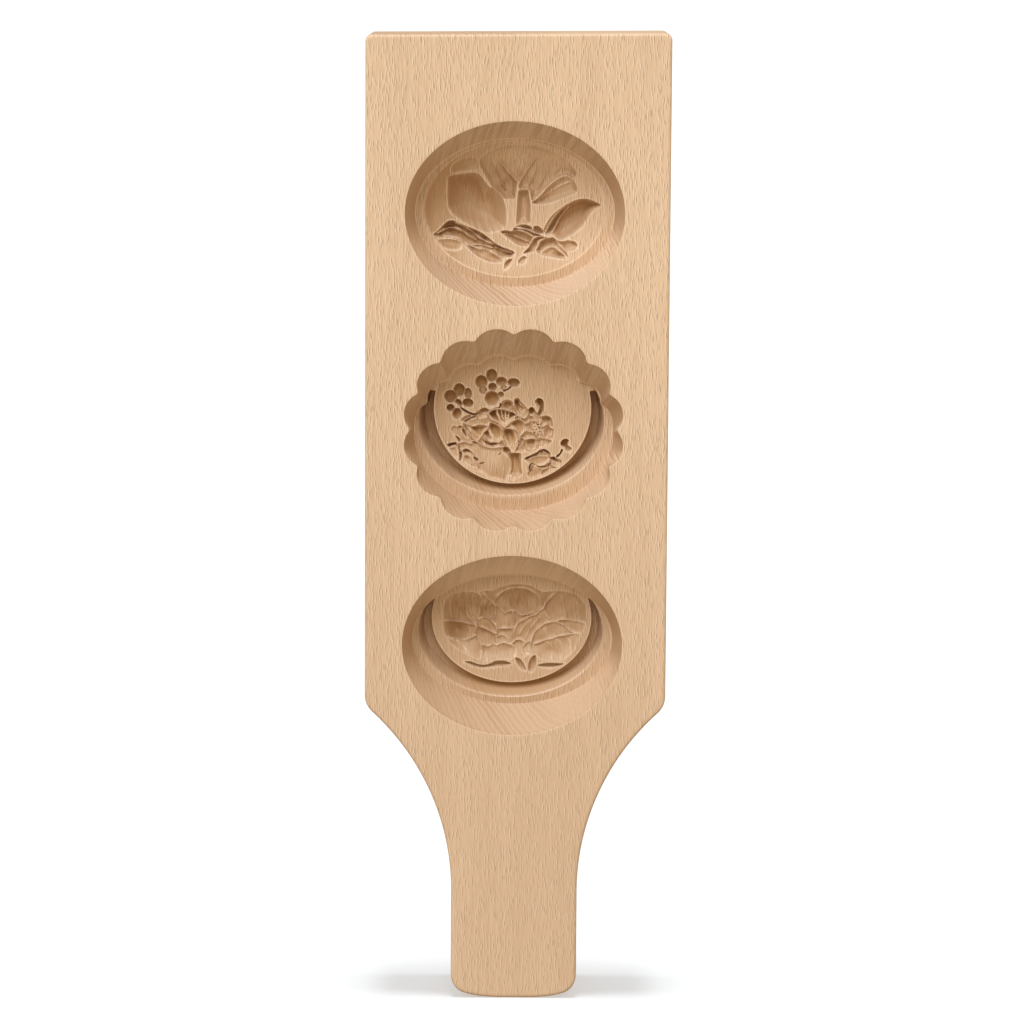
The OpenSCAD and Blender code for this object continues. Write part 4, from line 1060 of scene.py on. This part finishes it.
    # painted highlight on edges and ridges, and painted shade in recesses and on walls, from the tone attribute
    tone = g.new("ShaderNodeAttribute", attribute_name="tone").outputs["Fac"]
    col = g.mix(g.ramp(tone, 0.0, -1.5, 0.0, 0.9, smooth=False), col, (0.44, 0.24, 0.095, 1))
    col = g.mix(g.ramp(tone, -0.85, -1.5, 0.0, 0.6, smooth=False), col, (0.40, 0.19, 0.045, 1))
    col = g.mix(g.ramp(tone, 0.1, 0.9, 0.0, 0.75), col, (0.90, 0.69, 0.47, 1))
    # painted shade: the colour darkens a little towards the bottom of the plank
    bottom_shade = g.ramp(z, 10.0, 240.0, 0.33, 0.0)
    col = g.mix(bottom_shade, col, (0.46, 0.285, 0.16, 1))
    bsdf = g.new("ShaderNodeBsdfPrincipled")
    g.put(bsdf.inputs["Base Color"], col)
    g.put(bsdf.inputs["Roughness"], g.ramp(pore, 0.0, 1.0, 0.52, 0.62))
    bsdf.inputs["Specular IOR Level"].default_value = 0.35
    bump = g.new("ShaderNodeBump")
    bump.inputs["Strength"].default_value = 0.25
    bump.inputs["Distance"].default_value = 0.00012
    g.put(bump.inputs["Height"], g.math("SUBTRACT", g.math("MULTIPLY", fibre, 0.5), g.math("MULTIPLY", pore, 0.6)))
    g.put(bsdf.inputs["Normal"], bump.outputs[0])
    out = g.new("ShaderNodeOutputMaterial")
    g.put(out.inputs[0], bsdf.outputs[0])
    return m


data.materials.append(beech())

# ---------------------------------------------------------------- floor, light, camera
floor_mesh = bpy.data.meshes.new("floor")
S = 60.0
floor_mesh.from_pydata([(-S, -S, 0), (S, -S, 0), (S, S, 0), (-S, S, 0)], [], [(0, 1, 2, 3)])
floor = bpy.data.objects.new("floor", floor_mesh)
bpy.context.scene.collection.objects.link(floor)
fm = bpy.data.materials.new("floor_white")
fm.use_nodes = True
fb = fm.node_tree.nodes["Principled BSDF"]
fb.inputs["Base Color"].default_value = (0.645, 0.775, 1.0, 1)
fb.inputs["Roughness"].default_value = 0.9
fb.inputs["Specular IOR Level"].default_value = 0.0
fb.inputs["Emission Color"].default_value = (1.0, 1.0, 1.0, 1)
fb.inputs["Emission Strength"].default_value = 0.375
floor_mesh.materials.append(fm)
floor.visible_glossy = False
floor.visible_diffuse = False


def only(obj):
    c = bpy.data.collections.new("lit_" + obj.name)
    c.objects.link(obj)
    return c


def sun(name, strength, elevation, azimuth, angle, target, colour=(1.0, 1.0, 1.0)):
    d = bpy.data.lights.new(name, "SUN")
    d.energy = strength
    d.angle = math.radians(angle)
    d.color = colour
    o = bpy.data.objects.new(name, d)
    e, a = math.radians(elevation), math.radians(azimuth)
    toward = Vector((math.cos(e) * math.sin(a), -math.cos(e) * math.cos(a), math.sin(e)))
    o.rotation_euler = toward.to_track_quat("Z", "Y").to_euler()
    bpy.context.scene.collection.objects.link(o)
    o.light_linking.receiver_collection = target
    return o


on_mold, on_floor = only(mold), only(floor)
sun("key", 2.75, 53.0, -23.0, 45.0, on_mold, (0.96, 1.08, 1.28))
sun("overhead", 1.75, 88.0, 0.0, 12.0, on_floor, (1.0, 0.86, 0.68))

world = bpy.data.worlds.new("studio")
world.use_nodes = True
bg = world.node_tree.nodes["Background"]
bg.inputs[0].default_value = (1.0, 0.86, 0.68, 1)
bg.inputs[1].default_value = 0.6
bpy.context.scene.world = world
bpy.context.scene.view_settings.view_transform = "Standard"
bpy.context.scene.view_settings.look = "None"
bpy.context.scene.view_settings.exposure = 0.0

cam_data = bpy.data.cameras.new("camera")
cam_data.sensor_width = 36.0
cam_data.lens = 148.46
cam_data.clip_end = 200.0
cam = bpy.data.objects.new("camera", cam_data)
right = Vector((0.999982744, 0.000816537, 0.00581763))
up = Vector((-0.00587465, 0.13887376, 0.99029267))
back_v = -Vector((-6.9e-7, 0.990309756, -0.138876156))
m3 = Matrix((right, up, back_v)).transposed()
cam.matrix_world = Matrix.Translation((-0.001225, -1.272458, 0.326258)) @ m3.to_4x4()
bpy.context.scene.collection.objects.link(cam)
bpy.context.scene.camera = cam
